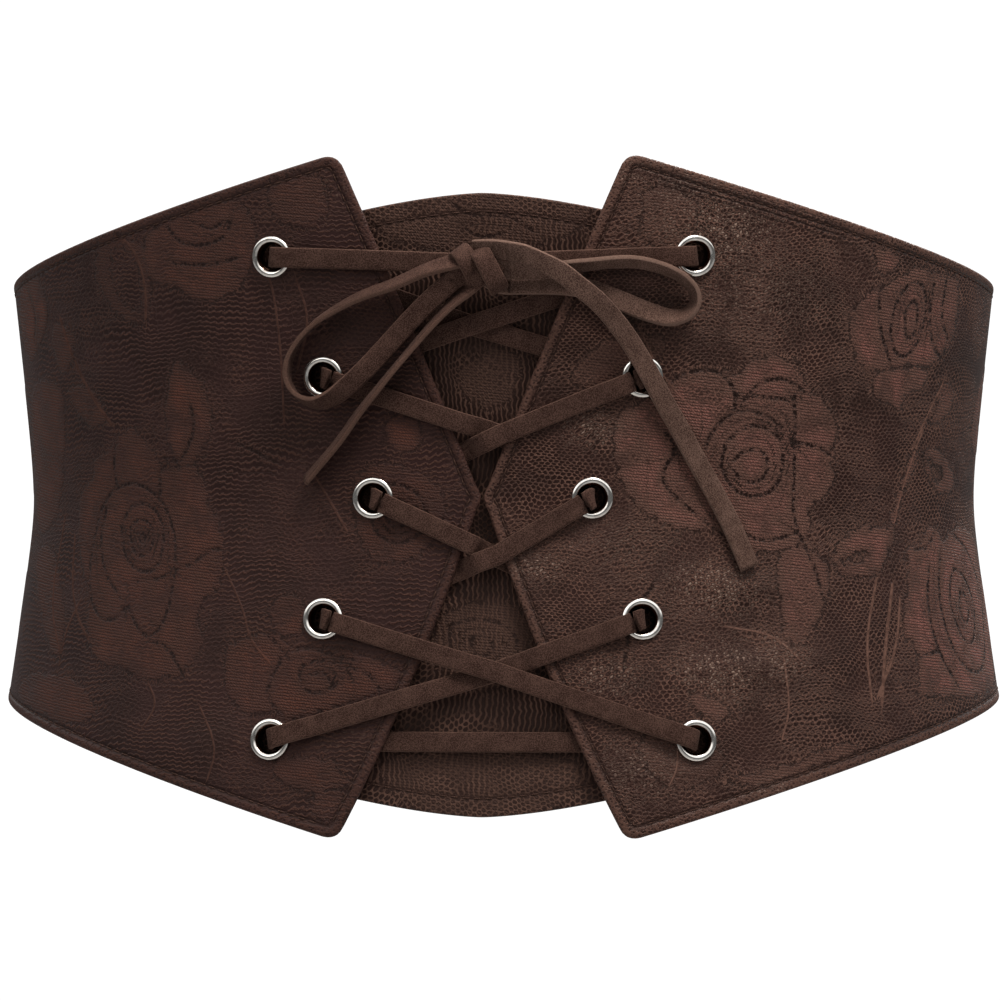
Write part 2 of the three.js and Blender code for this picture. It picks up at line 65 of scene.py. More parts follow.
# %% Camera
CAMERA_TURN = math.radians(3.3)
CAMERA_AWAY = 1.3
LENS_MM = 176.4
SHIFT = (-0.0025, -0.002)

camera = bpy.data.objects.new("camera", bpy.data.cameras.new("camera"))
camera.location = (CAMERA_AWAY * math.sin(CAMERA_TURN), -CAMERA_AWAY * math.cos(CAMERA_TURN), 0)
camera.rotation_euler = (math.pi / 2, 0, CAMERA_TURN)
camera.data.lens = LENS_MM
camera.data.sensor_width = 36
camera.data.shift_x, camera.data.shift_y = SHIFT
camera.data.clip_start = 0.05
camera.data.clip_end = 50
bpy.context.collection.objects.link(camera)
bpy.context.scene.camera = camera
print("camera at", [round(value, 3) for value in camera.location])

# %% [markdown]
# ## Meshes from arrays
# A piece of cloth is a grid of many small squares, so its points are worked out all at once with
# arrays, and not one by one. This helper turns arrays of points and faces into an object that rides
# on the belt. Values that a finish needs later, such as how far a point lies from an edge, are stored
# on the points as attributes.

# %% Meshes from arrays
def make_piece(name, points, faces, values):
    mesh = bpy.data.meshes.new(name)
    mesh.from_pydata(np.asarray(points).tolist(), [], faces if isinstance(faces, list) else faces.tolist())
    for label, numbers in values.items():
        numbers = np.asarray(numbers, np.float32)
        if numbers.ndim == 2:
            mesh.attributes.new(label, "FLOAT_VECTOR", "POINT").data.foreach_set("vector", numbers.ravel())
        else:
            mesh.attributes.new(label, "FLOAT", "POINT").data.foreach_set("value", numbers)
    mesh.polygons.foreach_set("use_smooth", np.ones(len(mesh.polygons), bool))
    mesh.update()
    piece = bpy.data.objects.new(name, mesh)
    bpy.context.collection.objects.link(piece)
    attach(piece, "root")
    return piece


def unit(vectors):
    return vectors / np.linalg.norm(vectors, axis=-1, keepdims=True)


def run_lengths(points):
    """How far along a line each of its points lies."""
    return np.concatenate([[0], np.cumsum(np.linalg.norm(np.diff(points, axis=0), axis=1))])


def smooth_line(rows, step):
    """A smooth line through rows whose first three columns are a place, in even steps."""
    rows = np.asarray(rows, float)
    at = run_lengths(rows[:, :3])
    slopes = np.gradient(rows, at, axis=0)
    where = np.linspace(0, at[-1], max(2, round(at[-1] / step) + 1))
    k = np.clip(np.searchsorted(at, where, side="right") - 1, 0, len(rows) - 2)
    span = (at[k + 1] - at[k])[:, None]
    t = (where - at[k])[:, None] / span
    return (
        (2 * t**3 - 3 * t**2 + 1) * rows[k]
        + (t**3 - 2 * t**2 + t) * span * slopes[k]
        + (3 * t**2 - 2 * t**3) * rows[k + 1]
        + (t**3 - t**2) * span * slopes[k + 1]
    )


# %% [markdown]
# ## The flat suede lace
# A lace like this is cut from suede as a strip with a flat front and back, and its two cut edges are
# a little lighter than its faces. A round tube would look wrong, so the strip is a rounded rectangle
# swept along a line, with a second direction at each point that says which way the flat face looks.

# %% Sweeping the lace
LACE_WIDTH = 0.005
LACE_THICKNESS = 0.0013
LACE_CORNER = 0.00035


def lace_section():
    """The section's corners: across the width, through the thickness, and how much cut edge shows."""
    corner = np.radians(np.arange(0, 91, 30))
    x = LACE_WIDTH / 2 - LACE_CORNER + LACE_CORNER * np.cos(corner)
    y = LACE_THICKNESS / 2 - LACE_CORNER + LACE_CORNER * np.sin(corner)
    cut = np.cos(corner) ** 2
    face = np.linspace(1, -1, 5)[1:-1] * (LACE_WIDTH / 2 - 2 * LACE_CORNER)
    top = [(x, y, cut), (face, np.full(3, LACE_THICKNESS / 2), np.zeros(3)), (-x[::-1], y[::-1], cut[::-1])]
    upper = np.concatenate([np.stack(part, axis=1) for part in top])
    lower = upper[::-1] * [1, -1, 1]
    return np.concatenate([upper, lower])


def sweep_lace(name, line, looks):
    section = lace_section()
    tangents = unit(np.gradient(line, axis=0))
    looks = unit(looks - tangents * (looks * tangents).sum(axis=1, keepdims=True))
    sides = np.cross(tangents, looks)
    points = (
        line[:, None]
        + sides[:, None] * section[None, :, :1]
        + looks[:, None] * section[None, :, 1:2]
    )
    steps, around = len(line), len(section)
    ring = np.arange(around)
    quads = [
        np.stack([a + ring, a + np.roll(ring, -1), b + np.roll(ring, -1), b + ring], axis=1)
        for a, b in zip(np.arange(steps - 1) * around, np.arange(1, steps) * around)
    ]
    faces = np.concatenate(quads).tolist()
    faces.append(ring[::-1].tolist())
    faces.append((ring + (steps - 1) * around).tolist())
    along = np.repeat(run_lengths(line) / MM, around)
    across, through = np.tile(section[:, :2] / MM, (steps, 1)).T
    values = {
        "lace_mm": np.stack([along, across, through], axis=1),
        "cut": np.tile(section[:, 2], steps),
    }
    piece = make_piece(name, points.reshape(-1, 3), faces, values=values)
    piece.data.polygons[-1].use_smooth = False
    piece.data.polygons[-2].use_smooth = False
    return piece


# %% [markdown]
# ## The bow
# The bow is the only part of the lace that hangs free: two loops and two ends. Each is a limp suede strip
# that bends softly, lies on the panels where it comes down, and turns on its edge where it leaves the knot. A
# simulation could drop them, but they would not come to lie as they do in the photograph, so their lines are
# listed.

# %% The bow's lines
# Each row: across, out and up in millimetres, and the strip's turn in degrees, from lying flat on the
# belt to standing on its edge
BOW = {
    "bow_loop_left": [
        (-6.9, -96.0, 58.0, 45), (-13.3, -95.5, 56.1, 55), (-21.6, -93.9, 52.6, 60),
        (-30.1, -92.0, 49.7, 65), (-36.3, -90.5, 46.6, 70), (-41.9, -89.0, 43.0, 75),
        (-46.0, -87.6, 38.4, 80), (-48.3, -86.6, 33.8, 82), (-48.5, -86.2, 29.5, 82),
        (-46.3, -86.7, 25.6, 78), (-42.0, -88.1, 23.5, 65), (-37.3, -89.8, 24.7, 45),
        (-33.5, -91.3, 27.4, 25), (-30.1, -92.1, 30.4, 15), (-23.9, -92.5, 36.8, 10),
        (-17.7, -93.4, 43.5, 10), (-11.4, -94.5, 49.7, 12), (-6.7, -95.3, 53.6, 15),
    ],
    "bow_loop_right": [
        (6.8, -95.3, 56.3, 25), (12.3, -95.3, 55.9, 35), (17.9, -95.2, 56.1, 50),
        (23.1, -95.0, 56.9, 60), (28.0, -94.5, 57.5, 65), (32.6, -93.8, 58.0, 65),
        (37.3, -92.9, 58.1, 65), (41.9, -91.8, 57.4, 68), (46.5, -90.4, 55.9, 72),
        (50.2, -88.7, 53.8, 78), (52.4, -87.4, 51.1, 82), (52.7, -86.7, 48.2, 80),
        (50.9, -86.8, 45.7, 65), (47.2, -87.6, 44.6, 40), (41.6, -88.9, 45.8, 20),
        (34.8, -90.4, 48.4, 10), (28.8, -91.3, 50.7, 10), (23.2, -91.9, 52.1, 10),
        (17.0, -92.3, 52.6, 10), (11.6, -92.6, 52.6, 10), (6.7, -92.8, 52.6, 10),
    ],
    "bow_end_right": [
        (6.8, -97.9, 60.7, 30), (10.5, -99.2, 59.9, 25), (14.9, -99.3, 58.0, 20),
        (19.7, -99.2, 55.6, 15), (24.3, -98.4, 52.0, 10), (28.9, -96.5, 48.3, 5),
        (32.6, -93.7, 44.2, 5), (36.3, -91.0, 39.2, 5), (39.5, -89.3, 34.0, 5), (42.3, -88.0, 28.9, 5),
        (45.6, -85.8, 22.7, 0), (48.4, -84.0, 17.8, 0), (52.0, -82.0, 11.0, 0), (57.0, -79.9, 2.0, 0),
        (61.5, -78.4, -6.8, 0), (66.1, -77.5, -17.4, 0),
    ],
    "bow_end_left": [
        (-3.7, -94.3, 50.9, 50), (-6.0, -94.2, 48.9, 60), (-9.4, -94.2, 45.5, 70),
        (-13.5, -93.9, 41.1, 72), (-17.7, -93.5, 36.2, 74), (-21.8, -93.4, 31.4, 74),
        (-25.9, -92.6, 26.4, 70), (-30.2, -90.7, 21.3, 66), (-35.2, -88.5, 14.5, 64),
        (-41.6, -86.1, 7.1, 62), (-44.1, -85.3, 4.3, 60),
    ],
}
WAIST_WIDTH = 0.249
WAIST_DEPTH = 0.176
bow_lines = {}


def turn_about(vectors, axes, degrees):
    angle = np.radians(degrees)[:, None]
    dots = (vectors * axes).sum(axis=1, keepdims=True)
    across = np.cross(axes, vectors)
    return vectors * np.cos(angle) + across * np.sin(angle) + axes * dots * (1 - np.cos(angle))


def bow_stretch(name):
    line = smooth_line(np.array(BOW[name]) * [MM, MM, MM, 1], MM)
    route, turns = line[:, :3], line[:, 3]
    tangents = unit(np.gradient(route, axis=0))
    outwards = np.stack(
        [route[:, 0] / (WAIST_WIDTH / 2) ** 2, route[:, 1] / (WAIST_DEPTH / 2) ** 2, 0 * turns], axis=1
    )
    outwards = unit(outwards - tangents * (outwards * tangents).sum(axis=1, keepdims=True))
    looks = turn_about(outwards, tangents, turns)
    bow_lines[name] = route, looks
    piece = sweep_lace(name.replace("bow", "suede_bow"), route, looks)
    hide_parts(name)
    far_end = "object" if "loop" in name else "bare"
    return piece


bow_pieces = [bow_stretch(name) for name in BOW]
# %% [markdown]
# ## The belt's own coordinates
# Everything sewn to the belt is easier to place on a flat pattern: how far round the waist a point
# lies, its girth, and its height. This function bends flat places onto the body: an oval that leans
# outwards above and below the waist. A lift moves a place straight off the surface, or into it when
# it is negative, so that a piece can be laid on the belt or behind it.

# %% From the flat pattern to the body
WAIST_ROUNDING = 0.010
UPPER_FLARE = 0.111
LOWER_FLARE = 0.152

waist_angle = np.linspace(-math.pi / 2, 1.5 * math.pi, 4001)
waist_line = np.stack(
    [WAIST_WIDTH / 2 * np.cos(waist_angle), WAIST_DEPTH / 2 * np.sin(waist_angle)], axis=1
)
waist_run = run_lengths(waist_line)
GIRTH = waist_run[-1]
print("round the waist:", round(GIRTH, 4))


def place(girth, height, lift=0.0):
    """Flat places, bent onto the body and lifted off the belt's outer face."""
    girth, height, lift = np.broadcast_arrays(np.asarray(girth, float), height, lift)
    around = np.mod(girth, GIRTH)
    x = np.interp(around, waist_run, waist_line[:, 0])
    y = np.interp(around, waist_run, waist_line[:, 1])
    lean = np.where(height > 0, UPPER_FLARE, LOWER_FLARE) / (WAIST_WIDTH / 2)
    rise = np.hypot(height, WAIST_ROUNDING)
    spread = 1 + lean * (rise - WAIST_ROUNDING)
    normal = unit(np.stack(
        [x / (WAIST_WIDTH / 2) ** 2, y / (WAIST_DEPTH / 2) ** 2, -lean * height / rise], axis=-1
    ))
    return np.stack([x * spread, y * spread, height], axis=-1) + normal * lift[..., None]


# %% [markdown]
# ## The front panels' outline
# Each front panel is cut like an arrowhead: a straight slanted edge from the upper tip to the middle
# of the waist and another down to the lower tip, and long curved edges that run to the sides. Only
# the right panel is drawn, with curves through its named sizes, and the left one is its mirror image.

# %% The outline of a front panel
APEX_GAP = 0.0006
UPPER_TIP = (0.034, 0.0853)
LOWER_TIP = (0.033, -0.0847)
REAR_REACH = 0.185
UPPER_REAR = 0.055
LOWER_REAR = -0.052
TIP_ROUNDING = 0.004
APEX_ROUNDING = 0.003
LOWER_EDGE_BOW = 0.0012
EDGE_BENDS = ((0.333, 0.475), (0.703, 1.02))


def bezier(*points, steps=60):
    t = np.linspace(0, 1, steps + 1)[:, None]
    level = [np.asarray(point, float) for point in points]
    while len(level) > 1:
        level = [a + (b - a) * t for a, b in zip(level, level[1:])]
    return level[0]


def chain(*curves):
    return np.concatenate([curves[0], *(curve[1:] for curve in curves[1:])])


def towards(start, end, distance):
    start, end = np.asarray(start, float), np.asarray(end, float)
    return start + unit(end - start) * distance


def half_outline(tip, rear_height, bow):
    """The long edge from the side to the tip's middle, and the front edge from there to the waist."""
    tip = np.array(tip)
    rear = np.array([REAR_REACH, rear_height])
    bends = [tip + (rear - tip) * [run, drop] for run, drop in EDGE_BENDS]
    apex = np.array([APEX_GAP / 2, 0])
    on_long = towards(tip, bends[0], TIP_ROUNDING)
    on_front = towards(tip, apex, TIP_ROUNDING)
    near_apex = towards(apex, tip, APEX_ROUNDING)
    middle = (on_long + on_front) / 4 + tip / 2
    round_tip = bezier(on_long, (on_long + tip) / 2, middle, steps=12)
    long = chain(bezier(rear, bends[1], bends[0], on_long), round_tip)
    bowed = (on_front + near_apex) / 2 - [2 * bow, 0]
    round_tip = bezier(middle, (on_front + tip) / 2, on_front, steps=12)
    front = chain(round_tip, bezier(on_front, bowed, near_apex))
    return long, front, near_apex


def at_shares(line, shares):
    """Points at shares of a line's length."""
    run = run_lengths(line)
    return np.stack([np.interp(shares * run[-1], run, line[:, k]) for k in range(line.shape[1])], axis=-1)


high, upper_front, upper_near = half_outline(UPPER_TIP, UPPER_REAR, 0)
low, lower_front, lower_near = half_outline(LOWER_TIP, LOWER_REAR, LOWER_EDGE_BOW)
apex_curve = bezier(lower_near, (APEX_GAP - lower_near[0], 0), upper_near, steps=12)
front_edge = chain(lower_front, apex_curve, upper_front[::-1])
high_edge, low_edge = high[::-1], low[::-1]
rear_edge = np.array([low_edge[-1], high_edge[-1]])
panel_outline = chain(front_edge, high_edge, rear_edge[::-1], low_edge[::-1])
print("front edge", round(run_lengths(front_edge)[-1], 4), "top edge", round(run_lengths(high_edge)[-1], 4))


# %% [markdown]
# ## Distances on the pattern
# The rolled edge, the stitching and every petal of the lace depend on how far a point lies from a
# line. This function finds that distance for a whole grid at once, and also how far along the line
# the nearest place is, which later spaces the small holes along each petal.

# %% Distance to a line on the pattern
def nearest_on(spots, line):
    """For each flat spot: its distance to a line, how far along the nearest place is, and the side."""
    starts, steps = line[:-1], np.diff(line, axis=0)
    squares = (steps**2).sum(axis=1)
    run = run_lengths(line)
    best = np.full(len(spots), np.inf)
    along = np.zeros(len(spots))
    side = np.ones(len(spots))
    for start, step, square, before, after in zip(starts, steps, squares, run, run[1:]):
        share = np.clip(((spots - start) @ step) / max(square, 1e-18), 0, 1)
        off = spots - start - share[:, None] * step
        away = np.hypot(*off.T)
        nearer = away < best
        best = np.where(nearer, away, best)
        along = np.where(nearer, before + share * (after - before), along)
        side = np.where(nearer, np.where(step[0] * off[:, 1] > step[1] * off[:, 0], 1, -1), side)
    return best, along, side


def inside(spots, line):
    """Which flat spots lie inside a closed line."""
    within = np.zeros(len(spots), bool)
    x, y = spots.T
    for (ax, ay), (bx, by) in zip(line, np.roll(line, -1, axis=0)):
        if ay == by:
            continue
        crosses = ((ay > y) != (by > y)) & (x < ax + (y - ay) * (bx - ax) / (by - ay))
        within ^= crosses
    return within
# %% [markdown]
# ## The lace's roses and leaves
# The net over the leather carries roses, leaves and thin stems, woven so densely that they look like cloth.
# Inside a rose, rows of small holes draw the petals. Such an ornament could be painted as a picture, but a
# chart of outlines stays sharp at any size. Every patch is a closed outline on the flat pattern, in
# millimetres, and every seam or stem is an open line; the numbers were read off the photograph. Each has a
# softly bent line made from it by cutting its corners off twice.

# %% The chart's patches
# Patches: how dense the weave is (0 cuts an opening), how warm its thread is, and the outline's corners
PATCHES = (
    (0.95, 0.8, ((42, 26), (49, 31), (57, 32), (63, 30), (66, 34), (72, 36), (79, 34), (82, 28), (89, 23),
     (93, 17), (90, 12), (92, 6), (90, 0), (84, -2), (85, -7), (81, -12), (73, -14), (64, -12), (61, -9),
     (54, -8), (46, -7), (38, -2), (33, 7), (32, 16), (34, 22), (39, 23))),
    (0.75, 0.7, ((75, -12), (84, -13), (88, -15), (89, -23), (85, -30), (79, -37), (76, -37), (74, -27))),
    (1.0, 1.0, ((108, 56), (114, 59), (122, 57), (132, 57), (133, 47), (132, 40), (122, 33), (113, 34),
     (104, 32), (99, 32), (94, 39), (93, 46), (97, 51), (103, 53))),
    (1.0, 1.0, ((101, 28), (104, 32), (111, 33), (122, 33), (121, 28), (114, 27), (112, 22), (107, 24))),
    (1.0, 1.0, ((98, 63), (109, 62), (103, 55))),
    (1.0, 1.0, ((115, -13), (122, -12), (125, -7), (129, -8), (133, -12), (137, -8), (148, -8), (160, -12),
     (166, -30), (160, -46), (150, -51), (111, -51), (115, -45), (115, -37), (111, -35), (112, -28),
     (115, -21))),
    (1.0, 0.9, ((91, -13), (96, -9), (101, -7), (106, -8), (110, -7), (112, -3), (115, 5), (118, 12),
     (121, 12), (119, 6), (115, 1), (112, -7), (109, -14), (105, -19), (99, -20), (91, -19))),
    (0.0, 0.0, ((92, -16), (96, -14), (101, -13), (102, -15), (97, -17))),
    (0.8, 0.8, ((122, 12), (130, 13), (136, 8), (141, 5), (137, 1), (130, 1), (125, 7))),
    (0.0, 0.0, ((125, 11), (134, 6), (131, 3), (126, 7))),
    (0.8, 0.9, ((126, 30), (135, 29), (135, 23), (129, 19), (123, 19), (128, 23))),
    (0.7, 0.4, ((49, -49), (53, -48), (59, -52), (61, -54), (56, -55), (51, -54))),
    (0.6, 0.3, ((55, -69), (70, -68), (79, -64), (93, -61), (92, -64), (79, -67), (65, -72))),
    (0.9, 0.6, ((-96, 18), (-92, 15), (-88, 10), (-85, 7), (-77, 9), (-73, 4), (-72, -3), (-68, -7),
     (-67, -14), (-67, -22), (-71, -25), (-74, -30), (-70, -34), (-72, -40), (-77, -45), (-88, -46),
     (-93, -43), (-104, -42), (-109, -35), (-109, -28), (-112, -20), (-116, -14), (-118, -3), (-116, 2),
     (-110, 6), (-111, 10), (-105, 11), (-101, 16))),
    (0.9, 0.9, ((-80, 35), (-75, 32), (-71, 27), (-70, 20), (-72, 14), (-75, 9), (-81, 7), (-83, 14),
     (-84, 22), (-82, 29))),
    (0.9, 0.5, ((-144, 31), (-121, 30), (-123, 17), (-127, 1), (-131, -7), (-145, -11), (-150, 9))),
    (0.8, 0.4, ((-145, -14), (-132, -12), (-124, -20), (-119, -32), (-119, -44), (-132, -31))),
    (0.8, 0.5, ((-145, -51), (-133, -45), (-120, -46), (-112, -46), (-105, -50), (-101, -56), (-113, -58),
     (-132, -54))),
    (1.0, 1.0, ((-143, 57), (-132, 58), (-127, 54), (-125, 48), (-129, 43), (-134, 39), (-142, 34),
     (-150, 44))),
    (0.8, 0.4, ((-125, 44), (-118, 45), (-114, 41), (-116, 35), (-121, 31), (-125, 38))),
    (0.8, 0.4, ((-120, 28), (-112, 29), (-107, 26), (-104, 21), (-107, 18), (-113, 19), (-118, 24))),
    (0.5, 0.3, ((-102, 66), (-93, 67), (-86, 62), (-86, 53), (-87, 44), (-94, 44), (-101, 50), (-104, 58))),
    (0.0, 0.0, ((-97, 64), (-93, 64), (-89, 61), (-88, 53), (-89, 47), (-93, 47), (-97, 51), (-99, 57))),
    (0.85, 0.6, ((-85, 67), (-79, 70), (-71, 74), (-62, 75), (-56, 72), (-55, 61), (-58, 55), (-64, 50),
     (-70, 49), (-78, 53), (-85, 54), (-88, 61))),
    (0.85, 0.7, ((-64, -38), (-59, -35), (-53, -34), (-49, -35), (-46, -39), (-43, -37), (-37, -38),
     (-32, -38), (-26, -40), (-20, -42), (-17, -45), (-23, -48), (-31, -50), (-38, -53), (-46, -56),
     (-50, -53), (-58, -54), (-62, -49), (-64, -44))),
    (0.7, 0.6, ((-51, -67), (-43, -64), (-35, -65), (-30, -70), (-36, -73), (-45, -72))),
    (0.5, 0.4, ((-40, -75), (-37, -72), (-32, -72), (-28, -76), (-33, -80), (-37, -80))),
    (0.8, 0.9, ((-24, 20), (-18, 20), (-15, 18), (-15, 13), (-19, 11), (-24, 13))),
    (0.7, 0.5, ((-33, 4), (-27, 9), (-19, 8), (-10, 3), (-9, -6), (-14, -14), (-24, -17), (-31, -12))),
    (0.8, 0.7, ((-53, -27), (-49, -24), (-44, -25), (-43, -31), (-45, -35), (-50, -34), (-53, -30))),
    (0.6, 0.4, ((-52, 78), (-44, 81), (-37, 80), (-36, 70), (-43, 66), (-50, 70))),
    (0.35, 0.2, ((38, 76), (44, 77), (52, 73), (50, 64), (42, 61), (37, 67))),
    (0.45, 0.3, ((20, 30), (28, 38), (38, 42), (46, 38), (40, 30), (30, 24))),
    (0.35, 0.2, ((36, -60), (44, -54), (54, -58), (58, -66), (50, -72), (40, -70))),
    (0.9, 0.8, ((150, 22), (158, 32), (170, 36), (178, 28), (174, 16), (162, 10), (152, 13))),
    (0.9, 0.7, ((-152, 22), (-160, 30), (-172, 34), (-179, 24), (-175, 8), (-166, -2), (-156, 4))),
    (0.8, 0.7, ((-156, -18), (-164, -22), (-176, -36), (-170, -44), (-160, -36))),
    (0.5, 0.4, ((-30, 78), (-10, 79), (12, 79), (28, 76), (24, 66), (12, 62), (2, 58), (-10, 62), (-26, 64))),
    (0.6, 0.4, ((-6, 31), (-2, 35), (3, 37), (10, 34), (8, 27), (4, 22), (0, 22), (-5, 26))),
    (0.6, 0.4, ((-13, -34), (-8, -27), (0, -25), (10, -27), (15, -34), (10, -44), (0, -48), (-10, -44))),
    (0.35, 0.3, ((-30, -66), (-6, -60), (12, -61), (28, -68), (10, -80), (-10, -80))),
)

# %% [markdown]
# ## Painted glints on the leather
# In the photograph the leather glints through the net in a few spots, mostly on the right panel. A stronger
# lamp would make all of it shine, so these glints are painted into the colour as pale specks instead, and the
# chart says where: each spot is a soft oval.

# %% Painted glints on the leather
# Each painted glint spot: across, up and size in millimetres, and how strong it is
PAINTED_GLINT_SPOTS = (
    (57, 66, 9, 1.0), (70, 52, 13, 0.45), (27, 17, 4, 0.9), (13, -17, 4, 0.8), (57, -22, 7, 0.9),
    (58, -43, 7, 1.0), (30, -44, 5, 0.9), (72, -40, 6, 0.7), (38, -66, 7, 0.6), (34, 80, 4, 0.5),
    (34, -12, 10, 0.3), (47, 75, 6, 0.6), (70, -72, 4, 0.5), (-37, 76, 5, 0.6), (-30, -60, 6, 0.5),
    (-62, -55, 12, 0.3), (-50, 10, 14, 0.3),
)
PAINTED_GLINT_SPOTS_WIDENED = 1.6
print(len(PATCHES), "patches and", len(PAINTED_GLINT_SPOTS), "shining spots")

# %% [markdown]
# ## The chart's seams and stems
# A petal is told from the next one by a row of small holes, and thick single threads run as stems.
# Both are open lines, listed as the places that they run through.

# %% The chart's seams and stems
# Seams, where small holes draw the petals: the places that each runs through
SEAMS = (
    ((79, 26), (80, 13), (80, 3), (80, -7), (84, -14), (87, -26)),
    ((54, 4), (55, 12), (59, 19), (64, 22), (71, 21), (77, 17), (79, 13)),
    ((79, 14), (86, 13), (90, 11)),
    ((60, 8), (61, 14), (66, 18), (71, 18), (76, 15), (77, 8), (75, 2), (69, 0), (63, 2), (60, 8)),
    ((63, 9), (66, 12), (71, 12), (73, 8), (71, 4), (66, 4), (63, 7)),
    ((60, 0), (63, -5), (66, -9), (71, -11), (76, -10), (80, -9)),
    ((57, 5), (58, -2), (62, -7)),
    ((46, 29), (53, 32), (60, 31), (63, 26), (63, 22)),
    ((65, 24), (69, 29), (76, 30), (81, 27)),
    ((63, 26), (68, 25), (75, 25), (79, 24)),
    ((44, 18), (49, 12), (44, 6), (48, 0), (59, -8)),
    ((49, 12), (54, 8), (57, 5)),
    ((108, 50), (111, 54), (116, 55), (119, 50), (118, 42), (114, 36), (109, 36), (106, 42), (108, 50)),
    ((111, 47), (114, 51), (116, 47), (115, 41), (112, 40), (111, 47)),
    ((121, 55), (120, 46), (123, 38), (127, 36)),
    ((126, 56), (125, 46), (129, 41)),
    ((102, 50), (103, 42), (107, 35)),
    ((136, -18), (142, -20), (147, -28), (143, -37), (137, -38), (132, -30), (132, -23), (136, -18)),
    ((138, -24), (141, -25), (142, -30), (139, -33), (136, -29), (138, -24)),
    ((130, -14), (127, -22), (127, -32), (132, -42), (141, -46), (150, -42), (154, -30)),
    ((137, -9), (146, -13), (153, -21)),
    ((124, -17), (121, -27), (123, -39), (129, -47)),
    ((129, -8), (124, -13), (119, -13)),
    ((118, -40), (123, -39)),
    ((-110, -10), (-108, -2), (-102, 3), (-94, 4), (-87, 0), (-83, -6), (-81, -13), (-81, -22), (-82, -30),
     (-86, -36), (-91, -33), (-95, -27)),
    ((-100, -7), (-97, -2), (-92, -1), (-87, -4), (-85, -10), (-86, -18), (-92, -19), (-98, -15), (-100, -7)),
    ((-97, -8), (-94, -5), (-90, -6), (-88, -11), (-91, -15), (-95, -14), (-97, -8)),
    ((-94, -9), (-91, -9), (-92, -12), (-94, -9)),
    ((-110, -10), (-111, -18), (-109, -26), (-104, -31), (-98, -31), (-95, -27)),
    ((-106, -3), (-108, -11), (-104, -20), (-97, -26)),
    ((-81, -18), (-76, -17), (-71, -13), (-68, -13)),
    ((-93, -21), (-87, -21), (-82, -19)),
    ((-87, 0), (-87, 6), (-85, 8)),
    ((-102, 3), (-103, 9), (-101, 15)),
    ((-86, -36), (-80, -38), (-76, -44)),
    ((-76, 23), (-75, 17), (-78, 12), (-80, 9), (-85, 10)),
    ((-66, 14), (-61, 13), (-53, 9)),
    ((-79, 68), (-76, 64), (-69, 63), (-63, 65), (-61, 70)),
    ((-71, 69), (-67, 67), (-63, 69)),
    ((-60, 60), (-68, 58), (-78, 59)),
    ((-53, -34), (-48, -39), (-52, -45), (-52, -50), (-48, -54)),
    ((-47, -38), (-42, -37), (-36, -39), (-31, -40)),
    ((-44, -42), (-39, -40), (-34, -41), (-33, -45), (-39, -49), (-44, -47), (-44, -42)),
    ((-42, -44), (-38, -43), (-36, -46)),
    ((-31, -42), (-26, -44), (-24, -48)),
    ((-29, 2), (-22, 4), (-15, 1), (-13, -7), (-20, -12), (-27, -9), (-29, 2)),
    ((-25, -2), (-20, 0), (-17, -5), (-22, -8), (-25, -2)),
    ((-137, 54), (-133, 48), (-136, 41)),
    ((-8, 73), (-2, 69), (6, 70), (12, 66)),
    ((-4, 66), (0, 64), (5, 65)),
    ((-8, -31), (0, -29), (8, -32), (9, -39), (0, -43), (-8, -39), (-8, -31)),
    ((-3, -34), (2, -34), (3, -38), (-2, -39), (-3, -34)),
    ((158, 27), (166, 31), (172, 26), (167, 18), (159, 19), (158, 27)),
    ((-160, 24), (-168, 26), (-173, 17), (-168, 7), (-161, 10), (-160, 24)),
    ((52, 16), (44, 24), (40, 34)),
    ((43, -20), (36, -30), (34, -42)),
)

# Stems and long stitches: the width of the thread, and the places that it runs through
STEMS = (
    (1.0, ((104, -20), (98, -36), (98, -51))),
    (1.3, ((109, -22), (104, -38), (101, -52))),
    (1.0, ((111, -26), (108, -38), (100, -50))),
    (0.9, ((118, 12), (124, 22), (130, 31))),
    (0.9, ((122, 17), (117, 7), (112, -6))),
    (1.5, ((-120, 46), (-116, 36), (-111, 28), (-103, 19))),
    (1.0, ((-125, -5), (-128, -26), (-119, -40))),
    (1.0, ((-113, -26), (-118, -34), (-119, -42))),
    (1.0, ((-108, -36), (-114, -30), (-118, -22), (-119, -10))),
    (0.8, ((-42, 5), (-34, -8))),
    (0.8, ((-54, 60), (-51, 52), (-50, 37), (-50, 19))),
    (0.8, ((-45, 54), (-42, 44), (-46, 32))),
    (0.7, ((-66, -18), (-60, -28), (-58, -35), (-52, -41))),
    (0.7, ((-70, -52), (-64, -62), (-66, -70))),
    (0.7, ((-86, -58), (-82, -52), (-86, -46))),
    (0.6, ((52, 22), (44, 30), (38, 42))),
    (0.7, ((74, -40), (75, -52), (72, -60))),
    (0.6, ((46, -56), (46, -66), (43, -72))),
    (0.8, ((49, 16), (55, 4), (60, 2))),
    (0.7, ((60, -32), (72, -34), (78, -40))),
    (1.0, ((-88, 44), (-87, 54), (-90, 64), (-97, 67))),
)


def softly(corners, closed):
    """A line from a few corners, each cut off twice, so that it bends softly."""
    line = np.array(corners, float)
    for _ in range(2):
        before = line if closed else line[:-1]
        after = np.roll(line, -1, axis=0) if closed else line[1:]
        cut = np.stack([3 * before + after, before + 3 * after], axis=1).reshape(-1, 2) / 4
        line = cut if closed else np.concatenate([line[:1], cut, line[-1:]])
    return np.concatenate([line, line[:1]]) if closed else line


def smooth_step(low_end, high_end, values):
    share = np.clip((values - low_end) / (high_end - low_end), 0, 1)
    return share * share * (3 - 2 * share)


# %% [markdown]
# ## Reading the chart at every point
# The finish can't read a list of outlines, but it can read numbers stored on the mesh. So each point
# is told how deep it lies in a patch, how far it lies from the nearest seam and stem, and how far
# along them. Blender blends these numbers between the points, which keeps the borders sharp.

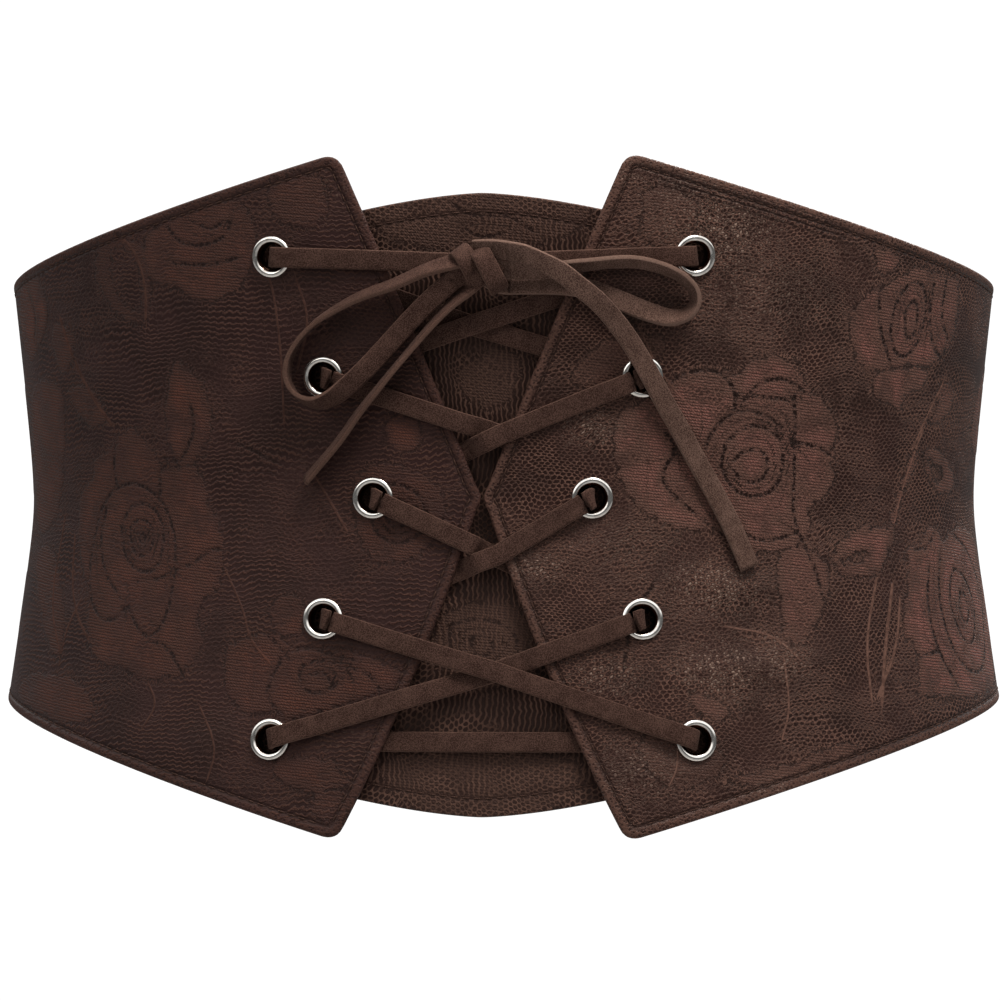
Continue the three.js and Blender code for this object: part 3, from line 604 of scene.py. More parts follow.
# %% Reading the chart at every point
def close_to(spots, line, margin):
    near = (spots > line.min(axis=0) - margin) & (spots < line.max(axis=0) + margin)
    return np.flatnonzero(near.all(axis=1))


def embroider(spots):
    """For each flat spot in millimetres, how the chart reads there. Depths and distances have a sign,
    positive inside a patch or left of a line, so that they can be blended between the points."""
    count = len(spots)
    weave = {label: np.zeros(count) for label in ("dense", "warm", "edge_beat", "beat", "shine")}
    # Painted glints: how strongly each point is painted with pale specks, from the chart's spots
    for across, up, size, strength in PAINTED_GLINT_SPOTS:
        away = np.hypot((spots[:, 0] - across) / PAINTED_GLINT_SPOTS_WIDENED, spots[:, 1] - up)
        weave["shine"] = np.maximum(weave["shine"], strength * np.exp(-((away / size) ** 2)))
    weave.update(depth=np.full(count, -9.0), seam=np.full(count, 9.0), stem=np.full(count, 9.0))
    for dense, warm, corners in PATCHES:
        line = softly(corners, True)
        near = close_to(spots, line, 4)
        away, along, _ = nearest_on(spots[near], line)
        signed = np.where(inside(spots[near], line), away, -away)
        if dense == 0:
            weave["depth"][near] = np.minimum(weave["depth"][near], -signed)
            continue
        takes = signed > weave["depth"][near]
        for label, level in (("depth", signed), ("dense", dense), ("warm", warm), ("edge_beat", along)):
            weave[label][near] = np.where(takes, level, weave[label][near])
    for corners in SEAMS:
        line = softly(corners, False)
        near = close_to(spots, line, 3)
        away, along, left = nearest_on(spots[near], line)
        takes = away < np.abs(weave["seam"][near])
        weave["seam"][near] = np.where(takes, away * left, weave["seam"][near])
        weave["beat"][near] = np.where(takes, along, weave["beat"][near])
    for wide, corners in STEMS:
        line = softly(corners, False)
        near = close_to(spots, line, 3)
        away, _, left = nearest_on(spots[near], line)
        away = away / (wide / 2)
        weave["stem"][near] = np.where(away < np.abs(weave["stem"][near]), away * left, weave["stem"][near])
    return weave


# %% [markdown]
# ## The front panels
# A real front panel is leather with the lace net laid over it, its edges turned in and stitched down.
# A flat plate with a picture would miss the turned edge and the creases. So the panel is a fine grid
# that follows its own outline, lifted a little where the weave is dense, pressed in along the
# stitching and waved where the leather creases. A plainer grid closes it on the inside.

# %% Sizes of a front panel
PANEL_WALL = 0.0016
PANEL_STEP = 0.00062
INNER_STRIDE = 3
EDGE_ROUNDING = 0.0007
SEAM_INSET = 0.0027
EYELET_PITCH = 0.030
EYELET_INSET = 0.027
HOLE_RADIUS = 0.0040
RELIEF = 0.00012

EYELETS = [
    ((0.0003 + (row_tip[0] - 0.0003) * abs(height) / abs(row_tip[1])) + EYELET_INSET, height)
    for height, row_tip in (
        (EYELET_PITCH * (2 - row), UPPER_TIP if row < 2 else LOWER_TIP) for row in range(5)
    )
]

# Creases of the leather: girth, height, length and width in mm, turn in degrees, and rise in mm
CREASES = (
    (62, -22, 30, 7, -4, 0.55),
    (66, -42, 40, 8, 6, 0.55),
    (56, 64, 26, 12, -25, 0.45),
    (43, -67, 18, 8, 20, 0.40),
    (34, 12, 24, 7, 70, 0.45),
    (24, -14, 16, 6, 30, 0.35),
    (-34, 30, 26, 9, -60, 0.35),
    (-38, -4, 12, 2.5, -55, 0.30),
    (-50, 44, 12, 2.5, -75, 0.30),
    (-62, -60, 34, 10, 10, 0.30),
    (-75, 15, 40, 12, 20, 0.25),
    (95, 10, 40, 14, 80, 0.25),
)


def crease_lift(girth_mm, height_mm):
    lift = np.zeros_like(girth_mm)
    for girth, height, long, wide, turn, rise in CREASES:
        turn = math.radians(turn)
        x, y = girth_mm - girth, height_mm - height
        ahead = x * math.cos(turn) + y * math.sin(turn)
        aside = y * math.cos(turn) - x * math.sin(turn)
        lift += rise * np.exp(-((2 * ahead / long) ** 2) - (2 * aside / wide) ** 2)
    return lift * MM


# %% [markdown]
# ## Grids and the walls between them
# The outer face needs many small squares for its stitching and folds, and the inner face only a few.
# Both are grids, blended between the panel's four edges, with the same round holes cut out for the
# eyelets. Walls then join the two faces along their edge and through each hole.

# %% Grids and the walls between them
def edge_shares(length, step, fine=0.00022, rims=5):
    """Shares along a length in even steps, with finer ones near both ends."""
    rim = np.arange(rims) * fine / length
    middle = np.linspace(rims * fine / length, 1 - rims * fine / length, round(length / step))
    return np.concatenate([rim, middle, 1 - rim[::-1]])


def blended_grid(across, up):
    """The panel's flat grid, blended between its four edges; it has a row for each share up."""
    front, rear = at_shares(front_edge, up)[:, None], at_shares(rear_edge, up)[:, None]
    bottom, top = at_shares(low_edge, across)[None], at_shares(high_edge, across)[None]
    u, v = across[None, :, None], up[:, None, None]
    low_corners = low_edge[0] * (1 - u) + low_edge[-1] * u
    high_corners = high_edge[0] * (1 - u) + high_edge[-1] * u
    corners = low_corners * (1 - v) + high_corners * v
    return front * (1 - u) + rear * u + bottom * (1 - v) + top * v - corners


def grid_faces(rows, columns):
    corner = (np.arange(rows - 1)[:, None] * columns + np.arange(columns - 1)).reshape(-1, 1)
    return corner + np.array([[0, 1, columns + 1, columns]])


def open_loops(faces):
    """The loops of points round the outside and round each hole of a sheet of faces."""
    starts, ends = faces.ravel(), np.roll(faces, -1, axis=1).ravel()
    top = faces.max() + 1
    lone = ~np.isin(starts * top + ends, ends * top + starts)
    after = dict(zip(starts[lone].tolist(), ends[lone].tolist()))
    loops = []
    while after:
        loop = [next(iter(after))]
        while loop[-1] in after:
            loop.append(after.pop(loop[-1]))
        loops.append(np.array(loop[:-1]))
    return loops


def zip_loops(first, first_flat, second, second_flat):
    """Faces between two loops round the same middle, matched by their angle as seen from it."""
    middle = (second_flat.min(axis=0) + second_flat.max(axis=0)) / 2
    rings = []
    for loop, flat in ((first, first_flat), (second, second_flat)):
        angle = np.arctan2(*(flat - middle).T[::-1])
        order = np.argsort(angle)
        rings.append((loop[order], angle[order]))
    (a, a_at), (b, b_at) = rings
    faces, i, j = [], 0, 0
    while i < len(a) or j < len(b):
        a_next = a_at[i + 1] if i + 1 < len(a) else a_at[0] + 2 * math.pi
        b_next = b_at[j + 1] if j + 1 < len(b) else b_at[0] + 2 * math.pi
        if j >= len(b) or (i < len(a) and a_next <= b_next):
            faces.append([int(a[i % len(a)]), int(a[(i + 1) % len(a)]), int(b[j % len(b)])])
            i += 1
        else:
            faces.append([int(a[i % len(a)]), int(b[(j + 1) % len(b)]), int(b[j % len(b)])])
            j += 1
    return faces


def cut_holes(flat, faces, middles, radius):
    """Takes out the faces over each hole and draws the points round it onto its circle."""
    for middle in middles:
        away = np.hypot(*(flat - middle).T)
        faces = faces[(away[faces] > radius).all(axis=1)]
        for loop in open_loops(faces):
            if away[loop].max() < 2.6 * radius:
                flat[loop] = middle + (flat[loop] - middle) * (radius / away[loop])[:, None]
    return flat, faces
# %% [markdown]
# ## The front panels as pieces
# The outer face is lifted and sunk by what the pattern says at each point: its rim rounds over, the
# seam lies in a groove with a soft welt beside it, two thin folds run along the top edge of the right
# panel, and roses stand a little proud. Roses and creases fade out towards the edge and the eyelets,
# where the stitching and the metal hold the leather flat.

# %% The front panels
FOLD_PITCH = 0.0014
FOLD_RISE = 0.00028


def rounded_rim(distance, radius):
    """How far a face drops where it rounds over its edge."""
    return radius * (1 - np.sqrt(np.clip(1 - (1 - np.clip(distance / radius, 0, 1)) ** 2, 0, 1)))


def front_panel(name, side):
    across = edge_shares(run_lengths(high_edge)[-1], PANEL_STEP)
    up = edge_shares(run_lengths(front_edge)[-1], PANEL_STEP)
    outer = blended_grid(across, up)
    rows, columns = outer.shape[:2]
    kept_rows = np.unique(np.append(np.arange(0, rows, INNER_STRIDE), rows - 1))
    kept_columns = np.unique(np.append(np.arange(0, columns, INNER_STRIDE), columns - 1))
    inner = outer[np.ix_(kept_rows, kept_columns)].reshape(-1, 2)
    outer = outer.reshape(-1, 2)
    middles = np.array(EYELETS)
    outer, outer_faces = cut_holes(outer, grid_faces(rows, columns), middles, HOLE_RADIUS)
    inner, inner_faces = cut_holes(inner, grid_faces(len(kept_rows), len(kept_columns)), middles, HOLE_RADIUS)

    flat = np.concatenate([outer, inner])
    edge, _, _ = nearest_on(flat, panel_outline)
    own = flat * [side, 1]
    weave = embroider(own / MM)
    rim = rounded_rim(edge, EDGE_ROUNDING)
    seam = np.exp(-(((edge - SEAM_INSET) / 0.0005) ** 2))
    welt = np.exp(-(((edge - SEAM_INSET / 2) / 0.0010) ** 2))
    clear = smooth_step(0.0035, 0.008, edge)
    holes = np.min([np.hypot(*(flat - middle).T) for middle in middles], axis=0)
    clear *= smooth_step(0.0055, 0.009, holes)
    fold_away, _, _ = nearest_on(flat, high_edge)
    fold_share = smooth_step(0.036, 0.050, own[:, 0]) * (1 - smooth_step(0.080, 0.100, own[:, 0]))
    fold_share *= smooth_step(0.0012, 0.0019, fold_away) * (1 - smooth_step(0.0048, 0.0062, fold_away))
    folds = fold_share * 0.5 * (1 - np.cos(2 * math.pi * (fold_away - FOLD_PITCH) / FOLD_PITCH))
    lift = -rim - 0.00018 * seam + 0.00016 * welt + FOLD_RISE * folds
    raised = smooth_step(-0.4, 0.4, weave["depth"]) * weave["dense"]
    lift += clear * (crease_lift(*(own / MM).T) + RELIEF * raised)
    lift -= clear * 0.00009 * np.exp(-((weave["seam"] / 0.5) ** 2))
    count = len(outer)
    lift[count:] = -PANEL_WALL + rim[count:]

    outer_loops, inner_loops = open_loops(outer_faces), open_loops(inner_faces)
    joins = []
    for loop in outer_loops:
        middle, wide = flat[loop].mean(axis=0), np.ptp(flat[loop][:, 0])
        match = min(inner_loops, key=lambda other: (
            np.hypot(*(inner[other].mean(axis=0) - middle)) + abs(np.ptp(inner[other][:, 0]) - wide)
        ))
        is_outside = len(loop) == max(map(len, outer_loops))
        walls = zip_loops(loop, flat[loop], match + count, inner[match])
        joins += [wall[::-1] if is_outside else wall for wall in walls]
    faces = outer_faces.tolist() + (inner_faces[:, ::-1] + count).tolist() + joins
    if side < 0:
        faces = [face[::-1] for face in faces]
    values = {
        "flat_mm": np.column_stack([own / MM, lift / MM]), "edge_mm": edge / MM,
        "top_mm": fold_away / MM, "folds": fold_share,
        "outside": (np.arange(len(flat)) < count).astype(float), **weave,
    }
    piece = make_piece(name, place(*own.T, lift), faces, values=values)
    print(name, "has", len(piece.data.polygons), "faces")
    return piece


leather_panels = {}
for side_name, side in (("left", -1), ("right", 1)):
    panel = front_panel(f"leather_panel_{side_name}", side)
    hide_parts(f"{side_name}_front_panel")
    leather_panels[side_name] = panel
# %% [markdown]
# ## The modesty panel and the back band
# Under the lacing lies a loose panel of the same net and leather, sewn in at its two sides. It shows
# in the gaps between the front panels, above and below the waist. Behind, a wide elastic band joins
# the two front panels, so that the belt can be stretched on. Both are simple strips of cloth: a grid
# on the flat pattern with an outer and an inner face and a thin wall between them.

# %% A strip of cloth with two faces
def cloth_strip(name, spots, lift, wall, values):
    """A closed thin piece from a grid of flat places; its outer face is lifted off the belt by lift."""
    rows, columns = spots.shape[:2]
    flat = spots.reshape(-1, 2)
    count = len(flat)
    number = np.arange(count).reshape(rows, columns)
    rim = np.concatenate([number[0], number[1:, -1], number[-1, -2::-1], number[-2:0:-1, 0]])
    outer = grid_faces(rows, columns)
    walls = np.stack([rim, np.roll(rim, -1), np.roll(rim, -1) + count, rim + count], axis=1)[:, ::-1]
    faces = np.concatenate([outer, outer[:, ::-1] + count, walls])
    lifts = np.broadcast_to(lift, count)
    points = np.concatenate([place(*flat.T, lifts), place(*flat.T, lifts - wall)])
    doubled = {label: np.concatenate([numbers, numbers]) for label, numbers in values.items()}
    doubled["outside"] = np.repeat([1.0, 0.0], count)
    doubled["flat_mm"] = np.tile(np.column_stack([flat / MM, lifts / MM]), (2, 1))
    return make_piece(name, points, faces, values=doubled)


# %% [markdown]
# ## The modesty panel
# Its top and bottom edges are bowed, so that it shows as a flat arch over and under the lacing. It
# runs straight behind the lace and comes up to the front panels only beside it, where it is sewn in.

# %% The modesty panel
HEM_INSET = 0.0045
MODESTY_WALL = 0.0012
MODESTY_REACH = 0.072
MODESTY_SEAM = 0.006
MODESTY_TOP = 0.0751
MODESTY_BOTTOM = 0.0783
MODESTY_DROP = 0.0155
LACE_BEHIND = 0.0039

share_up = edge_shares(MODESTY_TOP + MODESTY_BOTTOM, 0.0009)
modesty_girths = np.linspace(-MODESTY_REACH, MODESTY_REACH, 161)
modesty_drop = MODESTY_DROP * (np.abs(modesty_girths) / MODESTY_REACH) ** 1.5
modesty_low, modesty_high = modesty_drop - MODESTY_BOTTOM, MODESTY_TOP - modesty_drop
modesty_spots = np.stack(np.broadcast_arrays(
    modesty_girths, modesty_low + share_up[:, None] * (modesty_high - modesty_low)
), axis=-1)
flat = modesty_spots.reshape(-1, 2)
clear_of_lace = EYELETS[0][0] + 0.0050
ease = np.clip((np.abs(flat[:, 0]) - clear_of_lace) / (MODESTY_REACH - MODESTY_SEAM - clear_of_lace), 0, 1)
modesty_lift = -(LACE_BEHIND + 0.0003) + ease * (LACE_BEHIND - PANEL_WALL)
from_top = np.tile(modesty_high, len(share_up)) - flat[:, 1]
from_bottom = flat[:, 1] - np.tile(modesty_low, len(share_up))
hem = np.minimum(from_top, from_bottom)
modesty_lift -= 0.00012 * np.exp(-(((hem - HEM_INSET) / 0.0005) ** 2)) + rounded_rim(hem, 0.0005)
modesty_weave = embroider(flat / MM)
modesty = cloth_strip(
    "net_modesty_panel", modesty_spots, modesty_lift, MODESTY_WALL, {"hem_mm": hem / MM, **modesty_weave}
)
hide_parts("modesty_panel")
print("modesty panel:", len(modesty.data.polygons), "faces")

# %% [markdown]
# ## The back band
# The photograph doesn't show the back. Such belts close round the back with a plain band of wide
# elastic, so that is what is built: it starts under the rear edge of one front panel and ends under
# the other's.

# %% The back band
BAND_WALL = 0.0016
BAND_START = REAR_REACH - 0.010
BAND_INSET = 0.0005

band_shares = edge_shares(UPPER_REAR - LOWER_REAR - 2 * BAND_INSET, 0.0011)
band_heights = LOWER_REAR + BAND_INSET + band_shares * (UPPER_REAR - LOWER_REAR - 2 * BAND_INSET)
band_girths = np.linspace(BAND_START, GIRTH - BAND_START, 321)
band_spots = np.stack(np.meshgrid(band_girths, band_heights), axis=-1)
flat = band_spots.reshape(-1, 2)
hem = np.minimum(flat[:, 1] - band_heights[0], band_heights[-1] - flat[:, 1])
band_lift = -(PANEL_WALL + 0.0003) - rounded_rim(hem, 0.0005)
band = cloth_strip("elastic_back_band", band_spots, band_lift, BAND_WALL, {"hem_mm": hem / MM})
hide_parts("back_band")
print("band:", len(band.data.polygons), "faces")

# %% [markdown]
# ## The stitching
# The turned edges are held down by a row of small stitches, and so are the hems of the modesty panel.
# Each stitch is a short thread that comes out of the leather, lies in a shallow groove and goes in
# again. All the stitches of a row are one piece.

# %% Stitches
STITCH_PITCH = 0.0027
STITCH_LENGTH = 0.0020
STITCH_THICK = 0.00017
STITCH_ROUND = 6
STITCH_RINGS = 5


def stitch_row(name, line, lift):
    """Short threads along a flat line; lift is how high their middles lie off the belt's outer face."""
    run = run_lengths(line)
    starts = np.arange(STITCH_PITCH / 2, run[-1] - STITCH_PITCH, STITCH_PITCH)
    shares = np.linspace(0, 1, STITCH_RINGS)
    flat = at_shares(line, (starts[:, None] + shares * STITCH_LENGTH).ravel() / run[-1])
    dip = np.tile(STITCH_THICK * (np.sin(math.pi * shares) * 1.2 - 0.9), len(starts))
    spine = place(*flat.T, lift + dip).reshape(len(starts), STITCH_RINGS, 3)
    outwards = unit(place(*flat.T, lift + MM) - place(*flat.T, lift)).reshape(spine.shape)
    sideways = np.cross(unit(np.gradient(spine, axis=1)), outwards)
    turn = np.linspace(0, 2 * math.pi, STITCH_ROUND, endpoint=False)[:, None]
    thick = STITCH_THICK * np.array([0.6, 1, 1, 1, 0.6])[None, :, None, None]
    rings = spine[:, :, None] + thick * (
        np.cos(turn) * sideways[:, :, None] + np.sin(turn) * outwards[:, :, None]
    )
    ring = np.arange(STITCH_ROUND)
    after = np.roll(ring, -1)
    one = [
        np.stack([low + STITCH_ROUND + ring, low + STITCH_ROUND + after, low + after, low + ring], axis=1)
        for low in np.arange(STITCH_RINGS - 1) * STITCH_ROUND
    ]
    firsts = np.arange(len(starts)) * STITCH_RINGS * STITCH_ROUND
    quads = (np.concatenate(one) + firsts[:, None, None]).reshape(-1, 4)
    last_ring = ring[::-1] + (STITCH_RINGS - 1) * STITCH_ROUND
    caps = [(end + first).tolist() for first in firsts for end in (ring, last_ring)]
    values = {"along_mm": np.repeat(flat.sum(axis=1) / MM, STITCH_ROUND)}
    piece = make_piece(name, rings.reshape(-1, 3), quads.tolist() + caps, values=values)
    print(name, "has", len(starts), "stitches")
    return piece


def turning(line):
    """1 for a closed line that runs against the clock, and -1 for one that runs with it."""
    x, y = line.T
    return np.sign((x * np.roll(y, -1) - np.roll(x, -1) * y).sum())


def inset_line(line, inset):
    ahead = np.roll(line, -1, axis=0) - np.roll(line, 1, axis=0)
    return line + inset * unit(np.stack([-ahead[:, 1], ahead[:, 0]], axis=1)) * turning(line)


edge_line = panel_outline[np.append(True, np.hypot(*np.diff(panel_outline, axis=0).T) > 1e-6)][:-1]
seam_line = inset_line(edge_line, SEAM_INSET)
seam_line = np.concatenate([seam_line, seam_line[:1]])
stitch_pieces = {}
for side_name, side in (("left", -1), ("right", 1)):
    piece = stitch_row(f"stitching_{side_name}", seam_line * [side, 1], -0.00002)
    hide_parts(f"{side_name}_front_panel")
    stitch_pieces[side_name] = piece
for label, edge_heights in (("top", modesty_high - HEM_INSET), ("bottom", modesty_low + HEM_INSET)):
    row = np.stack([modesty_girths, edge_heights], axis=1)[35:126]
    piece = stitch_row(f"stitching_modesty_{label}", row, -(LACE_BEHIND + 0.0003) + 0.00002)
    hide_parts("modesty_panel")
    stitch_pieces[label] = piece

# %% [markdown]
# ## The eyelets
# An eyelet is a short metal tube pushed through the leather; its front is rolled over into a rim and
# its back is spread over a washer. Turning one outline round an axis gives exactly that. The rim's
# outline is nearly half an oval, because the bright ring in the photograph comes from its roundness.

# %% Eyelets
EYELET_BORE = 0.0062
EYELET_RIM = 0.0104
EYELET_RISE = 0.0007
WASHER_RIM = 0.0094
WASHER_RISE = 0.0004
GAP = 0.0003

roll = np.radians(np.linspace(-10, 160, 17))
crest_width, crest_height, crest_lift = 0.00080, 0.00060, GAP + 0.0002
washer_edge = 0.00015

# The profile runs over the rolled rim, down the bore, over the washer and back up behind the leather
rim, bore, washer = EYELET_RIM / 2, EYELET_BORE / 2, WASHER_RIM / 2
back = -(PANEL_WALL + GAP)
under = back - WASHER_RISE
crest = [
    (rim - crest_width * (1 - math.cos(angle)), crest_lift + crest_height * math.sin(angle)) for angle in roll
]
eyelet_profile = np.array([
    (rim - 0.0003, GAP - 0.0002), *crest, (bore + 0.00032, GAP + 0.00018), (bore + 0.0001, GAP - 0.0002),
    (bore, -2 * GAP), (bore, -4 * GAP), (bore, under + washer_edge), (bore + washer_edge, under),
    (washer - washer_edge, under), (washer, under + washer_edge), (washer, back),
    (0.0036, back), (0.0036, GAP - 0.0001),
])


def eyelet(name, girth, height):
    """The profile turned round the eyelet's middle, square to the belt there."""
    middle = place(girth, height)
    outwards = unit(place(girth, height, MM) - middle)
    sideways = unit(np.cross(outwards, [0, 0, 1]))
    upwards = np.cross(sideways, outwards)
    turn = np.linspace(0, 2 * math.pi, 64, endpoint=False)[:, None, None]
    radius, lift = eyelet_profile[None, :, :1], eyelet_profile[None, :, 1:]
    points = middle + radius * (np.cos(turn) * sideways + np.sin(turn) * upwards) + lift * outwards
    ring, step = points.shape[:2]
    here = (np.arange(ring)[:, None] * step + np.arange(step)).ravel()
    after = (np.arange(ring)[:, None] * step + (np.arange(step) + 1) % step).ravel()
    faces = np.stack([here, after, (after + step) % (ring * step), (here + step) % (ring * step)], axis=1)
    return make_piece(name, points.reshape(-1, 3), faces, values={
        "radius_mm": np.tile(eyelet_profile[:, 0] / MM, ring),
    })


eyelet_pieces = []
for side_name, side in (("left", -1), ("right", 1)):
    for row, (girth, height) in enumerate(EYELETS):
        piece = eyelet(f"nickel_eyelet_{side_name}_{row + 1}", side * girth, height)
        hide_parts(f"eyelet_{side_name}_{row + 1}")
        eyelet_pieces.append(piece)
print(len(eyelet_pieces), "eyelets")

# %% [markdown]
# ## The lacing
# The lace starts on both sides of the knot, goes in through the top eyelets, crosses from side to
# side down the front and ends in a straight bar between the lowest eyelets. It lies on the panels'
# face where it shows and behind them where it does not, and bends tightly at each eyelet. The same
# path as in the solid model is followed, in much finer steps, so that the bends look soft.

# %% How high the lace lies
LACE_BEND = 0.0019
LACE_REST = 0.0035
ON_FACE = {1: GAP + LACE_THICKNESS / 2, -1: -(PANEL_WALL + GAP + LACE_THICKNESS / 2)}
ON_RIM = {1: GAP + EYELET_RISE + GAP + LACE_THICKNESS / 2, -1: -(LACE_BEHIND - LACE_THICKNESS / 2)}
STACKED = LACE_THICKNESS + 0.00042
CROSSING_REST = 0.007
CROSSING_HOLD = 0.00425

# Crossings down the front: how far across and up, which half lies over, and the face on which a run
# leaves its upper eyelet and reaches its lower one, 1 for the outer face and -1 for the inner
CROSSINGS = (
    (-0.10, 1.42, "right", -1, -1),
    (0.16, 0.52, "left", 1, -1),
    (0.13, -0.48, "right", 1, -1),
    (0.12, -1.43, "right", 1, 1),
)


def edge_reach(height):
    tip = UPPER_TIP if height > 0 else LOWER_TIP
    return 0.0003 + (tip[0] - 0.0003) * abs(height) / abs(tip[1])


def station(spot, lift, off, along, direction):
    """A point of the lace and the way its flat face looks: partly off the belt, partly along it."""
    point = place(*spot, lift)
    ahead = unit(place(*(spot + direction * MM), lift) - point)
    outwards = unit(place(*spot, MM) - place(*spot))
    return point, outwards * off + ahead * along


def passage(centre, start, end, arrives, turned):
    """Through an eyelet from one face to the other, turning from one run's direction to the next."""
    stations = []
    quarter = range(0, 91, 10)
    bends = [(arrives, angle) for angle in quarter] + [(-arrives, angle) for angle in quarter[::-1]]
    for k, (face, degrees) in enumerate(bends):
        angle = math.radians(degrees)
        away = unit(start + (end - start) * smooth_step(0, len(bends) - 1, k))
        spot = centre + away * LACE_BEND * (1 - math.sin(angle))
        lift = ON_RIM[face] - face * LACE_BEND * (1 - math.cos(angle))
        stations.append(station(spot, lift, turned * face * math.cos(angle), -turned * math.sin(angle), away))
    return stations


def eased_lift(rows, distance):
    """The height of the lace along a run, eased between rows of distance and lift."""
    for (before, low_lift), (after, high_lift) in zip(rows, rows[1:]):
        if distance <= after:
            return low_lift + (high_lift - low_lift) * smooth_step(before, after, distance)
    return rows[-1][1]


def beside_eyelet(face):
    return [
        (LACE_BEND, ON_RIM[face]), (rim + LACE_REST / 2, ON_RIM[face]), (rim + 2 * LACE_REST, ON_FACE[face]),
    ]


def middle_lifts(leaves_panel, crossing, reaches_panel, leaves, reaches, is_over):
    """How a run lies in the gap between the panels."""
    if leaves == reaches:
        dips = (not is_over) if leaves > 0 else is_over
        middle = ON_FACE[leaves] - leaves * STACKED if dips else ON_FACE[leaves]
        return [
            (leaves_panel + LACE_REST / 3, ON_FACE[leaves]), (crossing - CROSSING_REST, middle),
            (crossing + CROSSING_REST, middle), (reaches_panel - LACE_REST / 2, ON_FACE[reaches]),
        ]
    starts, ends = crossing + CROSSING_HOLD, reaches_panel - LACE_REST / 2
    if not is_over:
        starts, ends = leaves_panel + LACE_WIDTH / 2, crossing - CROSSING_HOLD
    return [(starts, ON_FACE[leaves]), (ends, ON_FACE[reaches])]


def lace_run(start, crossing, end, leaves, reaches, is_over, turned):
    """A run between two eyelets by way of their crossing."""
    corner = np.hypot(*(crossing - start))
    total = corner + np.hypot(*(end - crossing))

    def spot_at(distance):
        if distance < corner:
            return start + (crossing - start) * distance / corner
        return crossing + (end - crossing) * (distance - corner) / (total - corner)

    steps = np.arange(0, total, 0.00025)
    between = [at for at in steps if abs(spot_at(at)[0]) <= edge_reach(spot_at(at)[1])]
    rows = [
        *beside_eyelet(leaves),
        *middle_lifts(between[0], corner, between[-1], leaves, reaches, is_over),
        *[(total - distance, lift) for distance, lift in beside_eyelet(reaches)[::-1]],
    ]
    stations = []
    for distance in np.linspace(LACE_BEND, total - LACE_BEND, round(total / 0.001))[1:-1]:
        heading = unit(spot_at(min(distance + 0.0015, total)) - spot_at(max(distance - 0.0015, 0)))
        stations.append(station(spot_at(distance), eased_lift(rows, distance), turned, 0, heading))
    return stations


# %% [markdown]
# ## The two halves of the lacing
# Each half starts at the knot and takes the crossings in turn, from side to side. The two halves meet
# in the middle of the lowest bar, so they are swept as one strip.

# %% The two halves of the lacing
KNOT_HEIGHT_AT = 0.058
KNOT_REACH = 0.00662


def lace_half(name):
    def at(row, side):
        return np.array([side * EYELETS[row][0], EYELETS[row][1]])

    side = -1 if name == "left" else 1
    turned = 1
    knot_edge = np.array([side * KNOT_REACH, KNOT_HEIGHT_AT])
    top = at(0, side)
    came_from = unit(knot_edge - top)
    rows = [*beside_eyelet(1), (np.hypot(*(knot_edge - top)), ON_FACE[1])]
    stations = [
        station(top + came_from * distance, eased_lift(rows, distance), turned, 0, came_from)
        for distance in np.linspace(rows[-1][0], LACE_BEND, 45)[:-1]
    ]
    arrives = 1
    for row, (across, up, over, leaves, reaches) in enumerate(CROSSINGS):
        start, end = at(row, side), at(row + 1, -side)
        meet = np.array([across * EYELET_INSET, up * EYELET_PITCH])
        stations += passage(start, came_from, unit(meet - start), arrives, turned)
        turned = -turned
        stations += lace_run(start, meet, end, leaves, reaches, over == name, turned)
        came_from, arrives, side = unit(meet - end), reaches, -side
    last = at(4, side)
    bar = np.array([-side, 0.0])
    stations += passage(last, came_from, bar, arrives, turned)
    turned = -turned
    rows = [*beside_eyelet(-1), (abs(last[0]), ON_FACE[-1])]
    stations += [
        station(last + bar * distance, eased_lift(rows, distance), turned, 0, bar)
        for distance in np.linspace(LACE_BEND, rows[-1][0], 60)[1:]
    ]
    line, looks = (np.array(part) for part in zip(*stations))
    return line, looks


(left_line, left_looks), (right_line, right_looks) = lace_half("left"), lace_half("right")
lacing = sweep_lace(
    "suede_lacing", np.concatenate([left_line, right_line[-2::-1]]),
    np.concatenate([left_looks, right_looks[-2::-1]]),
)
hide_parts("lacing")
print("the lacing is", round(2 * run_lengths(left_line)[-1] / MM), "mm long")
# %% [markdown]
# ## The knot
# The knot is the lace itself, drawn tight: one turn wraps slantwise over the middle, a second one
# tucks in beside it and a third passes under them. A plain block would look like a bead, so three
# short strips are wound round a small rounded core of the same suede. Every stretch of the bow and of
# the lacing is carried on into it by a short tail.

# %% The knot
KNOT_MIDDLE = np.array([0.0, -0.0945, 0.0570])

# Turns of the knot: places across, out and up from its middle, in millimetres
KNOT_TURNS = {
    "wrap": [
        (-1.4, -2.0, 3.4), (-0.6, 1.6, 4.0), (0.6, 3.6, 2.6), (1.8, 4.2, 0.4), (3.0, 4.0, -2.0),
        (4.2, 3.0, -4.2), (4.7, 0.8, -5.6), (4.3, -2.0, -5.2),
    ],
    "tuck": [
        (-6.0, -2.4, 3.4), (-5.4, 0.4, 4.0), (-4.4, 2.4, 3.4), (-3.4, 3.2, 2.0), (-2.4, 3.0, 0.2),
        (-1.5, 2.0, -1.6), (-0.8, -0.4, -2.8),
    ],
    "under": [
        (-3.6, -2.6, -4.8), (-2.8, 0.4, -4.6), (-1.6, 1.8, -3.6), (-0.2, 2.2, -2.6), (1.6, 2.2, -1.4),
        (3.4, 1.8, 0.0), (5.0, 0.6, 1.4), (5.6, -1.6, 2.0),
    ],
}
KNOT_CORE = {"wrap": (1.6, -0.4, -0.8), "tuck": (-3.2, -2.4, -0.2), "under": (1.0, -2.4, -1.6)}


def knot_turn(name):
    rows = np.array(KNOT_TURNS[name]) * [MM, -MM, MM]
    line = smooth_line(rows, 0.0006)
    looks = line - np.array(KNOT_CORE[name]) * [MM, -MM, MM]
    piece = sweep_lace(f"suede_knot_{name}", line + KNOT_MIDDLE, looks)
    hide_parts("bow_knot")
    return piece


